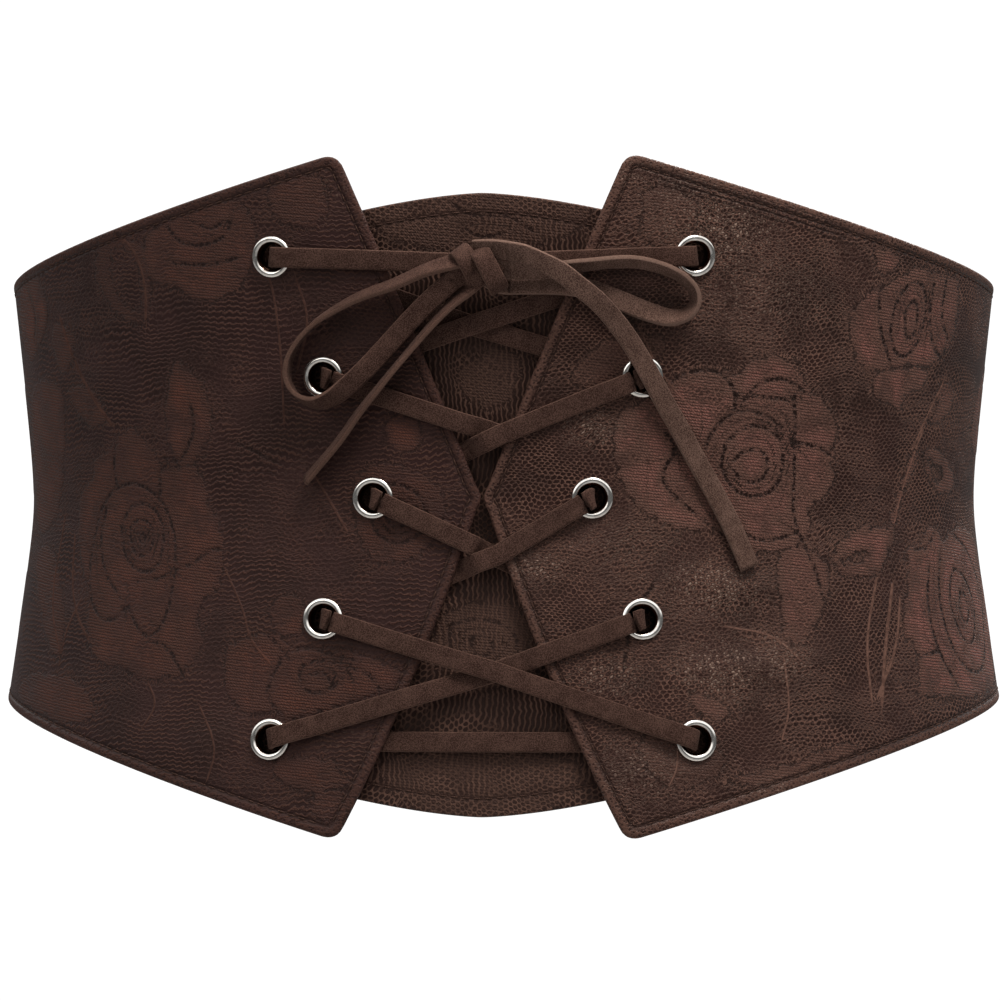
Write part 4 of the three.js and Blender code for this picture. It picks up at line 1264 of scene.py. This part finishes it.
def knot_tail(name, start, before, look, target):
    """Carries a stretch on from its end, in the direction in which it arrives, to a place in the knot."""
    ahead = unit(start - before)
    target = KNOT_MIDDLE + np.array(target) * [MM, -MM, MM]
    reach = 0.45 * np.linalg.norm(target - start)
    bend = bezier(start, start + ahead * reach, target, steps=10)
    line = np.concatenate([[start - ahead * 0.0006], bend])
    piece = sweep_lace(f"suede_knot_tail_{name}", line, np.tile(look, (len(line), 1)))
    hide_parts("bow_knot")
    return piece


def rounded_lump(name, middle, half_sizes, around=32, rows=16):
    turn = np.linspace(0, 2 * math.pi, around, endpoint=False)
    rise = np.linspace(-math.pi / 2, math.pi / 2, rows + 2)[1:-1, None]
    round_off = np.cos(rise)
    ring = np.stack(np.broadcast_arrays(np.cos(turn) * round_off, np.sin(turn) * round_off, np.sin(rise)), -1)
    points = np.concatenate([[[0, 0, -1]], ring.reshape(-1, 3), [[0, 0, 1]]]) * half_sizes + middle
    k = np.arange(around)
    after = (k + 1) % around
    faces = [[0, int(b) + 1, int(a) + 1] for a, b in zip(k, after)]
    for row in range(rows - 1):
        low, high = 1 + row * around, 1 + (row + 1) * around
        faces += np.stack([low + k, low + after, high + after, high + k], axis=1).tolist()
    top = 1 + (rows - 1) * around
    faces += [[top + int(a), top + int(b), 1 + rows * around] for a, b in zip(k, after)]
    values = {"lace_mm": points / MM, "cut": np.zeros(len(points))}
    return make_piece(name, points, faces, values=values)


knot_pieces = [knot_turn(name) for name in KNOT_TURNS]
TAILS = (
    ("loop_left_out", "bow_loop_left", 0, (-1.5, -0.5, 1.5)),
    ("loop_left_back", "bow_loop_left", -1, (-0.5, 0.2, -1.6)),
    ("end_left", "bow_end_left", 0, (-0.2, -0.6, -3.2)),
    ("loop_right_out", "bow_loop_right", 0, (1.0, -0.8, 0.2)),
    ("loop_right_back", "bow_loop_right", -1, (1.0, -1.6, -2.0)),
    ("end_right", "bow_end_right", 0, (-1.6, 1.6, 4.0)),
)
for name, stretch, end, target in TAILS:
    route, looks = bow_lines[stretch]
    start, before, look = (route[0], route[1], looks[0]) if end == 0 else (route[-1], route[-2], looks[-1])
    knot_pieces.append(knot_tail(name, start, before, look, target))
for name, line, looks in (("left", left_line, left_looks), ("right", right_line, right_looks)):
    target = (-1.0 if name == "left" else 1.0, -2.4, 1.0)
    knot_pieces.append(knot_tail(f"lacing_{name}", line[0], line[1], looks[0], target))
knot_core = rounded_lump("suede_knot_core", KNOT_MIDDLE + [0.0004, 0.0008, -0.0008], (0.0052, 0.0030, 0.0038))
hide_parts("bow_knot")
knot_pieces.append(knot_core)
print("the knot has", len(knot_pieces), "pieces")

# %% [markdown]
# ## Building a finish
# Every finish is worked out by its own nodes from the attributes that were stored on the points, so
# it stays sharp at any distance. Nodes could be placed and wired one by one, but a long formula is
# then hard to read. Here a value on its way through the nodes can be added, subtracted and
# multiplied like a number, and each such step adds its node.

# %% Values that flow through nodes
class Flow:
    """A value on its way through a finish; arithmetic on it adds the nodes that work it out."""

    def __init__(self, finish, socket):
        self.finish, self.socket = finish, socket

    def __add__(self, other):
        return self.finish.maths("ADD", self, other)

    def __sub__(self, other):
        return self.finish.maths("SUBTRACT", self, other)

    def __rsub__(self, other):
        return self.finish.maths("SUBTRACT", other, self)

    def __mul__(self, other):
        return self.finish.maths("MULTIPLY", self, other)

    def __abs__(self):
        return self.finish.maths("ABSOLUTE", self)

    __radd__, __rmul__ = __add__, __mul__


# %% Short calls for nodes
MIX_FIRST, MIX_SECOND, MIX_RESULT = 6, 7, 2


class Finish:
    def __init__(self, owner):
        self.owner = owner
        owner.use_nodes = True
        self.tree = owner.node_tree
        self.tree.nodes.clear()

    def node(self, kind, inputs, **settings):
        """A new node with its settings; each of its inputs takes a number, a colour or a flow."""
        node = self.tree.nodes.new("ShaderNode" + kind)
        for label, value in settings.items():
            setattr(node, label, value)
        for key, value in inputs.items():
            if isinstance(value, Flow):
                self.tree.links.new(value.socket, node.inputs[key])
            else:
                node.inputs[key].default_value = value
        return node

    def flow(self, kind, inputs, output=0, **settings):
        return Flow(self, self.node(kind, inputs, **settings).outputs[output])

    def attribute(self, name, output="Fac"):
        return self.flow("Attribute", {}, output, attribute_name=name)

    def split(self, vector):
        return [Flow(self, socket) for socket in self.node("SeparateXYZ", {0: vector}).outputs]

    def maths(self, operation, *values):
        return self.flow("Math", dict(enumerate(values)), operation=operation)

    def most(self, first, *others):
        for other in others:
            first = self.maths("MAXIMUM", first, other)
        return first

    def noise(self, vector, scale, detail=2.0, roughness=0.5):
        inputs = {"Vector": vector, "Scale": scale, "Detail": detail, "Roughness": roughness}
        return self.flow("TexNoise", inputs)

    def stray(self, vector, scale, amount, detail=2.0, roughness=0.5):
        """Noise that strays to both sides of nothing."""
        return (self.noise(vector, scale, detail, roughness) - 0.5) * amount

    def cells(self, vector, scale):
        return self.flow("TexVoronoi", {"Vector": vector, "Scale": scale}, "Distance", feature="F1")

    def between(self, value, low, high, to_low=0.0, to_high=1.0, ease="SMOOTHSTEP"):
        """The value's share of the way from low to high, smoothed at both ends."""
        inputs = dict(enumerate((value, low, high, to_low, to_high)))
        return self.flow("MapRange", inputs, interpolation_type=ease)

    def near(self, distance, low, high, peak=1.0):
        """The peak on a line, which falls to nothing between two distances from it."""
        return self.between(abs(distance), low, high, peak, 0.0)

    def blend(self, share, first, second):
        return first + share * (second - first)

    def mix(self, share, first, second):
        inputs = {0: share, MIX_FIRST: first, MIX_SECOND: second}
        return self.flow("Mix", inputs, MIX_RESULT, data_type="RGBA", clamp_factor=True)

    def wave(self, value, pitch):
        """Rises from 0 to 1 and falls back over each pitch."""
        return self.maths("PINGPONG", value, pitch / 2) * (2 / pitch)

    def cover(self, pieces, colour, roughness, height, **constants):
        """Joins the colour, the roughness and the relief in metres to a surface on the given pieces."""
        bump = self.flow("Bump", {"Strength": 1, "Distance": 1, "Height": height})
        surface = {"Base Color": colour, "Roughness": roughness, "Normal": bump}
        for label, value in constants.items():
            surface[label.replace("_", " ")] = value
        self.node("OutputMaterial", {0: self.flow("BsdfPrincipled", surface)})
        for piece in pieces:
            piece.data.materials.clear()
            piece.data.materials.append(self.owner)
        print(self.owner.name, "has", len(self.tree.nodes), "nodes")


def new_finish(name):
    return Finish(bpy.data.materials.new(name))


# %% [markdown]
# ## Colours
# A colour is easiest to name as the eye reads it from a screen, from 0 to 255, but a finish needs the
# share of the light that it sends back. The dark leather reflects a warm light, so the shine of every
# finish but the nickel is tinted, and kept weak.

# %% Colours
WARM = (1.0, 0.72, 0.62, 1.0)
WORN_SHINE = {"IOR": 1.45, "Specular_IOR_Level": 0.3, "Specular_Tint": WARM}


def tone(red, green, blue):
    parts = (part / 255 for part in (red, green, blue))
    light = (part / 12.92 if part <= 0.04045 else ((part + 0.055) / 1.055) ** 2.4 for part in parts)
    return (*light, 1.0)


def shaded(colour, share):
    return (*(part * share for part in colour[:3]), 1.0)


# %% [markdown]
# ## Woven patterns
# Seen close, the net is a mesh of small cells, pulled out of square by the waist. Two crossed waves
# give such cells without a picture: together they are high in the cells and low along the threads.
# Roses and leaves are woven in fine ribs, and small holes run along the edge of each petal.

# %% Woven patterns
def woven_ribs(f, x, y, jitter):
    """The dense weave: fine ribs across, with the stitches along each rib just showing."""
    ribs = f.between(f.wave(y + jitter * 0.7 + x * 0.10, 0.74), 0.05, 0.65)
    stitches = f.wave(x + jitter * 2.0 + y * 0.8, 0.72)
    return ribs * (stitches * 0.75 + 0.25) + 0.08


def honeycomb(f, x, y, across, row):
    """Crossed waves that are high in the middle of staggered cells and low along the threads between."""
    one = f.maths("COSINE", x * (2 * math.pi / across))
    two = f.maths("COSINE", y * (math.pi / row))
    return two * (one + two)


def small_holes(f, away, beat, pitch, radius):
    """A row of small holes: near the line, and once in each pitch along it."""
    along = (1 - f.wave(beat, pitch)) * (pitch / 2 / radius)
    across = away * (1 / radius)
    return f.near(f.maths("SQRT", along * along + across * across), 0.75, 1.15)


# %% [markdown]
# ## The chart on the net
# A chart that is followed exactly looks printed. In real lace the petals' borders are ragged, the
# holes wander and the weave is worn in places, so noise bends the chart's distances.

# %% The chart on the net
def chart_on_net(f, spot, net, weave):
    """Lays the chart's patches, seams and stems over a net; gives back the thread and the holes."""
    depth = f.attribute("depth") + f.stray(spot, 0.33, 6.0, 4, 0.65)
    worn = f.between(f.noise(spot, 0.13, 4, 0.65), 0.38, 0.56)
    cover = f.between(depth, -0.3, 0.6) * f.attribute("dense") * (worn * 0.6 + 0.4)
    thread = f.blend(cover, net, weave)
    wander = f.stray(spot, 0.8, 2.4, 3, 0.6)
    patchy = f.between(f.noise(spot, 0.55, 3), 0.42, 0.54, 0.1, 1.0)
    seam_beat, edge_beat = f.attribute("beat"), f.attribute("edge_beat")
    away = abs(f.attribute("seam") + wander * 0.35)
    edge_holes = small_holes(f, abs(depth + 0.35), edge_beat + wander, 1.15, 0.5)
    seam_holes = small_holes(f, away, seam_beat + wander, 1.3, 0.56)
    beside = f.near(away - 0.95, 0.2, 0.6, 0.75)
    fringe = f.near(depth + 0.9, 0.3, 0.8, 0.75)
    ticks = f.most(
        f.between(f.wave(seam_beat + wander * 0.3, 0.7), 0.3, 0.7) * beside,
        f.between(f.wave(edge_beat + wander * 0.3, 0.8), 0.4, 0.8) * fringe,
    )
    stem = f.near(f.attribute("stem") + wander * 0.25, 0.4, 1.1, 0.9) * (patchy * 0.4 + 0.6)
    thread = f.most(thread, ticks * patchy, stem)
    holes = f.most(edge_holes * 0.7, seam_holes, f.near(away, 0.2, 1.2, 0.25)) * patchy
    return thread * (1 - holes), cover, holes


# %% [markdown]
# ## Lace over leather
# The leather is smooth and a little glossy; the net over it is dull thread. The finish therefore mixes two
# surfaces: dark leather in the cells and holes, and warmer dull thread elsewhere. On the right the net shows
# as cells, and on the left it is stretched into wavy rows. Where the chart says that the leather shines, pale
# specks are painted into the cells as glints.

# %% Lace over leather
def lace_net(f, spot, x, y, cell, rows_share):
    """The net's threads, the waves behind its cells, and how the threads are jogged."""
    drift = f.stray(spot, 0.05, 9.0)
    jitter = f.stray(spot, 0.9, 0.9)
    along, up = x + (drift * 0.5 + jitter), y + (drift + jitter)
    comb = honeycomb(f, along, up, cell * 1.4, cell * 0.8)
    sway = f.maths("SINE", (along + jitter) * 2.9) * 0.18
    rows = f.between(f.wave(up + sway, cell), 0.5, 0.85)
    where = f.between(f.noise(spot, 0.035, 1), 0.4, 0.6, rows_share - 0.35, rows_share + 0.35)
    where = f.maths("MINIMUM", f.most(where, 0.0), 1.0)
    net = f.blend(where, f.between(comb, -0.02, 0.36, 1.0, 0.0), rows)
    net = net * f.between(f.noise(spot, 0.07, 5, 0.65), 0.40, 0.60, 0.30, 1.05)
    return net * f.between(f.noise(spot, 1.9, 3, 0.6), 0.40, 0.62, 0.55, 1.25), comb, jitter


def sewn_edge(f, thread, spot, jitter):
    """The turned edge: leather grain on its roll, which also lightens it as a painted highlight, and the
    grooves of the seam and of the folds, which lose their thread colour as painted shade and are given back
    to be sunk and darkened.
    """
    # The roll's crackle is the leather's grain, and it also lightens the roll as a painted highlight.
    crackle = f.between(f.cells(spot, 1.5), 0.25, 0.6)
    rolled = f.near(f.attribute("edge_mm"), 1.3, 2.2)
    thread = f.blend(rolled * 0.7, thread, crackle * 0.6)
    # Painted shade: the seam's groove and the troughs of the folds lose their thread colour, as well as being
    # sunk in relief.
    groove = f.near(f.attribute("edge_mm") - SEAM_INSET / MM, 0.2, 0.7, 0.6)
    pleat = f.wave(f.attribute("top_mm") + jitter - FOLD_PITCH / MM, FOLD_PITCH / MM)
    pleat = f.near(pleat, 0.15, 0.6, 0.9) * f.attribute("folds")
    sunk = f.most(groove, pleat)
    return thread * (1 - sunk) * f.attribute("outside"), sunk


def lace_leather(side_name, cell, rows_share, gloss, dark, light, warm, glint_colour):
    f = new_finish(f"lace over leather, {side_name}")
    spot = f.attribute("flat_mm", "Vector")
    x, y, _ = f.split(spot)
    net, comb, jitter = lace_net(f, spot, x, y, cell, rows_share)
    thread, cover, holes = chart_on_net(f, spot, net, woven_ribs(f, x, y, jitter))
    thread, sunk = sewn_edge(f, thread, spot, jitter)
    sunk = f.most(holes, sunk)

    within = f.between(f.attribute("depth"), 0.3, 3.5, 0.25, 1.0)
    within = within * f.between(abs(f.attribute("seam")), 0.6, 2.6, 0.35, 1.0)
    within = within * f.between(f.noise(spot, 0.12, 3), 0.38, 0.58, 0.3, 1.0)
    yarn = f.mix(f.attribute("warm") * cover * within, light, warm)
    hide = f.mix(f.between(f.noise(spot, 0.05, 4, 0.6), 0.4, 0.62), dark, shaded(dark, 1.7))
    colour = f.mix(thread, hide, yarn)

    grain, outside = f.noise(spot, 1.6, 3, 0.6), f.attribute("outside")
    # Painted glints: pale specks in the cells and on the grain, where the chart says the leather shines
    specks = f.between(comb, 0.7, 1.6) * f.between(f.noise(spot, 0.7, 3), 0.46, 0.62)
    specks = specks * 0.8 + f.between(grain, 0.52, 0.66) * 0.35
    colour = f.mix(specks * f.attribute("shine") * (outside - cover) * 0.8, colour, glint_colour)
    # Painted shade: the holes, the seam's groove and the fold troughs are darkened below the leather's own
    # tone.
    colour = f.mix(sunk * 0.8, colour, shaded(dark, 0.5))
    rough = f.between(f.most(thread, 1 - outside), 0.1, 0.6, gloss, 0.9)
    height = thread * 0.00022 + grain * 0.00008 - sunk * 0.00014
    f.cover([leather_panels[side_name]], colour, rough, height, **WORN_SHINE)


# Painted shade: the left copy's tones are darker than the right copy's, for the dimmer light on the left.
lace_leather(
    "left", cell=1.3, rows_share=0.80, gloss=0.46, dark=tone(33, 19, 19), light=tone(88, 62, 54),
    warm=tone(120, 74, 60), glint_colour=tone(120, 96, 84),
)
lace_leather(
    "right", cell=1.08, rows_share=0.12, gloss=0.36, dark=tone(32, 18, 16), light=tone(118, 88, 77),
    warm=tone(154, 104, 94), glint_colour=tone(190, 162, 146),
)


# %% [markdown]
# ## The modesty panel's net
# The modesty panel carries the same net, but stretched upright, so its threads run as wavy upright
# lines that open into cells in places. The chart and the ribs are the ones used above; only the net
# between them is new.

# %% The modesty panel's net
def upright_net(pieces, dark, light):
    f = new_finish("net over leather")
    spot = f.attribute("flat_mm", "Vector")
    x, y, _ = f.split(spot)
    drift = f.stray(spot, 0.06, 10.0, 3)
    jitter = f.stray(spot, 0.9, 0.5)
    aside = drift * 0.6 + jitter
    sway = f.maths("SINE", (y + drift) * 2.6) * 0.13
    lines = f.wave(x + sway + aside, 1.3)
    comb = honeycomb(f, y + drift, x + aside, 1.5, 1.15)
    hem = f.attribute("hem_mm")
    where = f.most(f.between(f.noise(spot, 0.06, 1), 0.45, 0.55), f.near(hem, 4.2, 5.5))
    net = f.blend(where, f.between(lines, 0.45, 0.85), f.between(comb, 0.02, 0.42, 1.0, 0.0))
    net = net * f.between(f.noise(spot, 0.15, 4, 0.65), 0.36, 0.60, 0.45, 1.0)
    thread, _, holes = chart_on_net(f, spot, net, woven_ribs(f, x, y, jitter))
    # Painted shade: the hem's groove loses its thread colour, as well as being sunk in relief.
    groove = f.near(hem - HEM_INSET / MM, 0.2, 0.8, 0.7)
    thread = thread * (1 - groove) * f.attribute("outside")
    # Painted shade: the holes are darkened below the leather's own tone.
    colour = f.mix(holes * 0.7, f.mix(thread, dark, light), shaded(dark, 0.6))
    rough = f.between(thread, 0.1, 0.7, 0.5, 0.82)
    height = thread * 0.00018 + f.noise(spot, 1.6, 3, 0.6) * 0.00006
    f.cover(pieces, colour, rough, height, **WORN_SHINE)


upright_net([modesty], tone(32, 19, 17), tone(100, 75, 65))


# %% [markdown]
# ## Elastic
# The back band is ribbed elastic: each rib is yarn woven over a rubber cord, and both its edges are
# woven flat. A wave up the band gives the ribs, and a wave along it, moved on by half a
# stitch from rib to rib, gives the yarn.

# %% Elastic
RIB_MM = 1.15


def elastic(pieces, dark, light):
    f = new_finish("ribbed elastic")
    spot = f.attribute("flat_mm", "Vector")
    x, y, _ = f.split(spot)
    ribs = f.wave(y + f.stray(spot, 0.8, 0.25), RIB_MM)
    stitches = f.wave(x + f.maths("ROUND", y * (1 / RIB_MM)) * 0.45, 0.9)
    yarn = f.between(ribs, 0.1, 0.8) * 0.7 + stitches * 0.3
    flat_weave = f.wave(x, 0.8) * 0.5 + f.wave(y, 0.6) * 0.4
    yarn = f.blend(f.near(f.attribute("hem_mm"), 2.2, 2.6), yarn, flat_weave)
    shade = f.between(f.noise(spot, 0.03, 4, 0.6), 0.35, 0.65, 0.8, 1.0)
    f.cover(pieces, f.mix(yarn * shade, dark, light), 0.8, yarn * 0.00018, **WORN_SHINE)


elastic([band], tone(34, 23, 20), tone(76, 55, 47))


# %% [markdown]
# ## Nickel
# The eyelets are plated with nickel: bright on the rolled rim, and browner in the bore, where the reflection
# and shade of the leather and the lace are painted into its colour. Two tones, blended by the distance from
# the eyelet's middle, give that, and faint wear breaks up the reflections.

# %% Nickel
def nickel(pieces, bore, rim, worn):
    f = new_finish("nickel plate")
    wear = f.noise(f.flow("TexCoord", {}, "Object"), 700.0, 3)
    # Painted reflection and shade: the bore's brown tone stands for the leather and the lace mirrored in it.
    colour = f.mix(f.between(f.attribute("radius_mm"), 3.6, 4.0), bore, rim)
    colour = f.mix(f.between(wear, 0.5, 0.72) * 0.3, colour, worn)
    f.cover(pieces, colour, f.between(wear, 0.3, 0.7, 0.10, 0.17), wear * 0.000008, Metallic=1.0)


nickel(eyelet_pieces, tone(96, 68, 54), tone(222, 218, 212), tone(120, 98, 84))


# %% [markdown]
# ## Suede
# Suede has no gloss: it is a fine nap of short fibres, and the fibres along its cut edges are paler.
# The two stretches on the right of the bow look paler in the photograph than the rest of the lace,
# so they get the same finish in paler tones.

# %% Suede
def suede(name, pieces, dark, light, edge):
    f = new_finish(name)
    spot, cut = f.attribute("lace_mm", "Vector"), f.attribute("cut")
    nap = f.noise(spot, 3.4, 4, 0.7)
    shade = nap * 0.85 + f.noise(spot, 0.25, 2) * 0.15
    fibres = f.between(f.noise(spot, 5.0, 3, 0.7), 0.42, 0.62)
    colour = f.mix(
        f.between(cut, 0.15, 0.9) * (fibres * 0.45 + 0.5),
        f.mix(f.between(shade, 0.40, 0.60), dark, light), edge,
    )
    f.cover(
        pieces, colour, 0.92, nap * 0.00016 + fibres * cut * 0.00008, IOR=1.4, Specular_IOR_Level=0.12,
        Specular_Tint=WARM, Sheen_Weight=0.04, Sheen_Roughness=0.4, Sheen_Tint=WARM,
    )


lace_pieces = [lacing, *bow_pieces, *knot_pieces]
paler = [piece for piece in lace_pieces if "loop_right" in piece.name or "end_right" in piece.name]
plain = [piece for piece in lace_pieces if piece not in paler]
suede("suede", plain, tone(47, 32, 28), tone(92, 70, 62), tone(116, 90, 79))
# A paler copy of the same suede, for the right loop and the right end.
suede("suede, paler copy", paler, tone(64, 47, 41), tone(118, 94, 84), tone(138, 112, 100))


# %% [markdown]
# ## Sewing thread
# The stitches are a twisted thread, a shade lighter than the leather that they sink into. A wave
# along each row gives the twist, and fine noise gives the fuzz.

# %% Sewing thread
def sewing_thread(pieces, dark, light):
    f = new_finish("sewing thread")
    twist = f.wave(f.attribute("along_mm"), 0.5)
    fuzz = f.noise(f.flow("TexCoord", {}, "Object"), 2500.0, 2)
    colour = f.mix(twist * 0.6 + fuzz * 0.4, dark, light)
    f.cover(pieces, colour, 0.75, twist * 0.00003, **WORN_SHINE)


sewing_thread(stitch_pieces.values(), tone(40, 25, 22), tone(84, 62, 53))

# %% [markdown]
# ## Counting the cloth sheets
# Whoever uses the part must know which pieces are cloth. The panels, the modesty panel and the band are
# sheets, each with the flat size that its pattern was cut to, and the bow's four stretches are cords; here
# the sheets are only counted.

print("sheets:", len(leather_panels) + 2)

# %% [markdown]
# ## Floor
# The belt is shown as it is worn, about a metre above a pale floor. The floor is one large flat disk,
# so its rim never comes near the belt.

# %% Floor
FLOOR_DEPTH = 0.95
FLOOR_RADIUS = 6.0

floor_ring = [
    (FLOOR_RADIUS * math.cos(angle), FLOOR_RADIUS * math.sin(angle), -FLOOR_DEPTH)
    for angle in np.linspace(0, 2 * math.pi, 96, endpoint=False)
]
floor_mesh = bpy.data.meshes.new("floor")
floor_mesh.from_pydata(floor_ring, [], [list(range(len(floor_ring)))])
floor = bpy.data.objects.new("floor", floor_mesh)
bpy.context.collection.objects.link(floor)
pale = bpy.data.materials.new("pale_floor")
pale.use_nodes = True
pale.node_tree.nodes["Principled BSDF"].inputs["Base Color"].default_value = (0.78, 0.78, 0.78, 1)
pale.node_tree.nodes["Principled BSDF"].inputs["Roughness"].default_value = 0.9
floor.data.materials.append(pale)
print("the floor lies", FLOOR_DEPTH, "below the waist")

# %% [markdown]
# ## Lamps
# Four round, soft lamps light the belt. The strongest on its front stands high on the right, as in
# the photograph, where the right panel shines more than the left. A weaker one on the left softens
# the shadows, one lights the back, and one from above reaches the inside. A hard lamp would draw
# sharp shadows of the bow, which the photograph doesn't have.

# %% Lamps
# Each lamp: its turn from the front and its rise in degrees, how far away, how wide, and its power
LAMPS = {
    "key_lamp": (30, 56, 0.9, 0.35, 6.3),
    "fill_lamp": (-45, 30, 1.5, 0.9, 2.0),
    "rear_lamp": (160, 40, 1.7, 0.8, 24),
    "inner_lamp": (0, 89, 1.2, 0.7, 5),
}
LAMP_COLOUR = (1.0, 0.93, 0.87)

for name, (turn, rise, away, size, power) in LAMPS.items():
    turn, rise = math.radians(turn), math.radians(rise)
    lamp = bpy.data.objects.new(name, bpy.data.lights.new(name, "AREA"))
    lamp.data.shape = "DISK"
    lamp.data.size = size
    lamp.data.energy = power
    lamp.data.color = LAMP_COLOUR
    lamp.location = (
        away * math.sin(turn) * math.cos(rise), -away * math.cos(turn) * math.cos(rise), away * math.sin(rise)
    )
    lamp.rotation_euler = (math.pi / 2 - rise, 0, turn)
    bpy.context.collection.objects.link(lamp)
print(len(LAMPS), "lamps")

# %% [markdown]
# ## Sky
# The sky is white where the camera sees it, as the photograph's ground is. As a light it is much
# dimmer, and brighter overhead than low down, so that the dark leather keeps its depth. Where it is
# mirrored it has a bright upper part, which draws the light rim on each eyelet.

# %% Sky
sky = Finish(bpy.data.worlds.new("studio_sky"))
bpy.context.scene.world = sky.owner
height = sky.split(sky.flow("TexCoord", {}, "Generated"))[2]
overhead = sky.between(height, 0.3, 0.6, 0.12, 0.45, ease="LINEAR")
in_metal = sky.between(height, 0.2, 0.4, 0.14, 1.5, ease="LINEAR")
in_gloss = sky.between(sky.flow("LightPath", {}, "Is Glossy Ray"), 0, 1, overhead, in_metal, ease="LINEAR")
strength = sky.between(sky.flow("LightPath", {}, "Is Camera Ray"), 0, 1, in_gloss, 1.1, ease="LINEAR")
sky.node("OutputWorld", {0: sky.flow("Background", {"Color": (1, 1, 1, 1), "Strength": strength})})
bpy.context.scene.view_settings.view_transform = "Standard"
print("the sky has", len(sky.tree.nodes), "nodes")
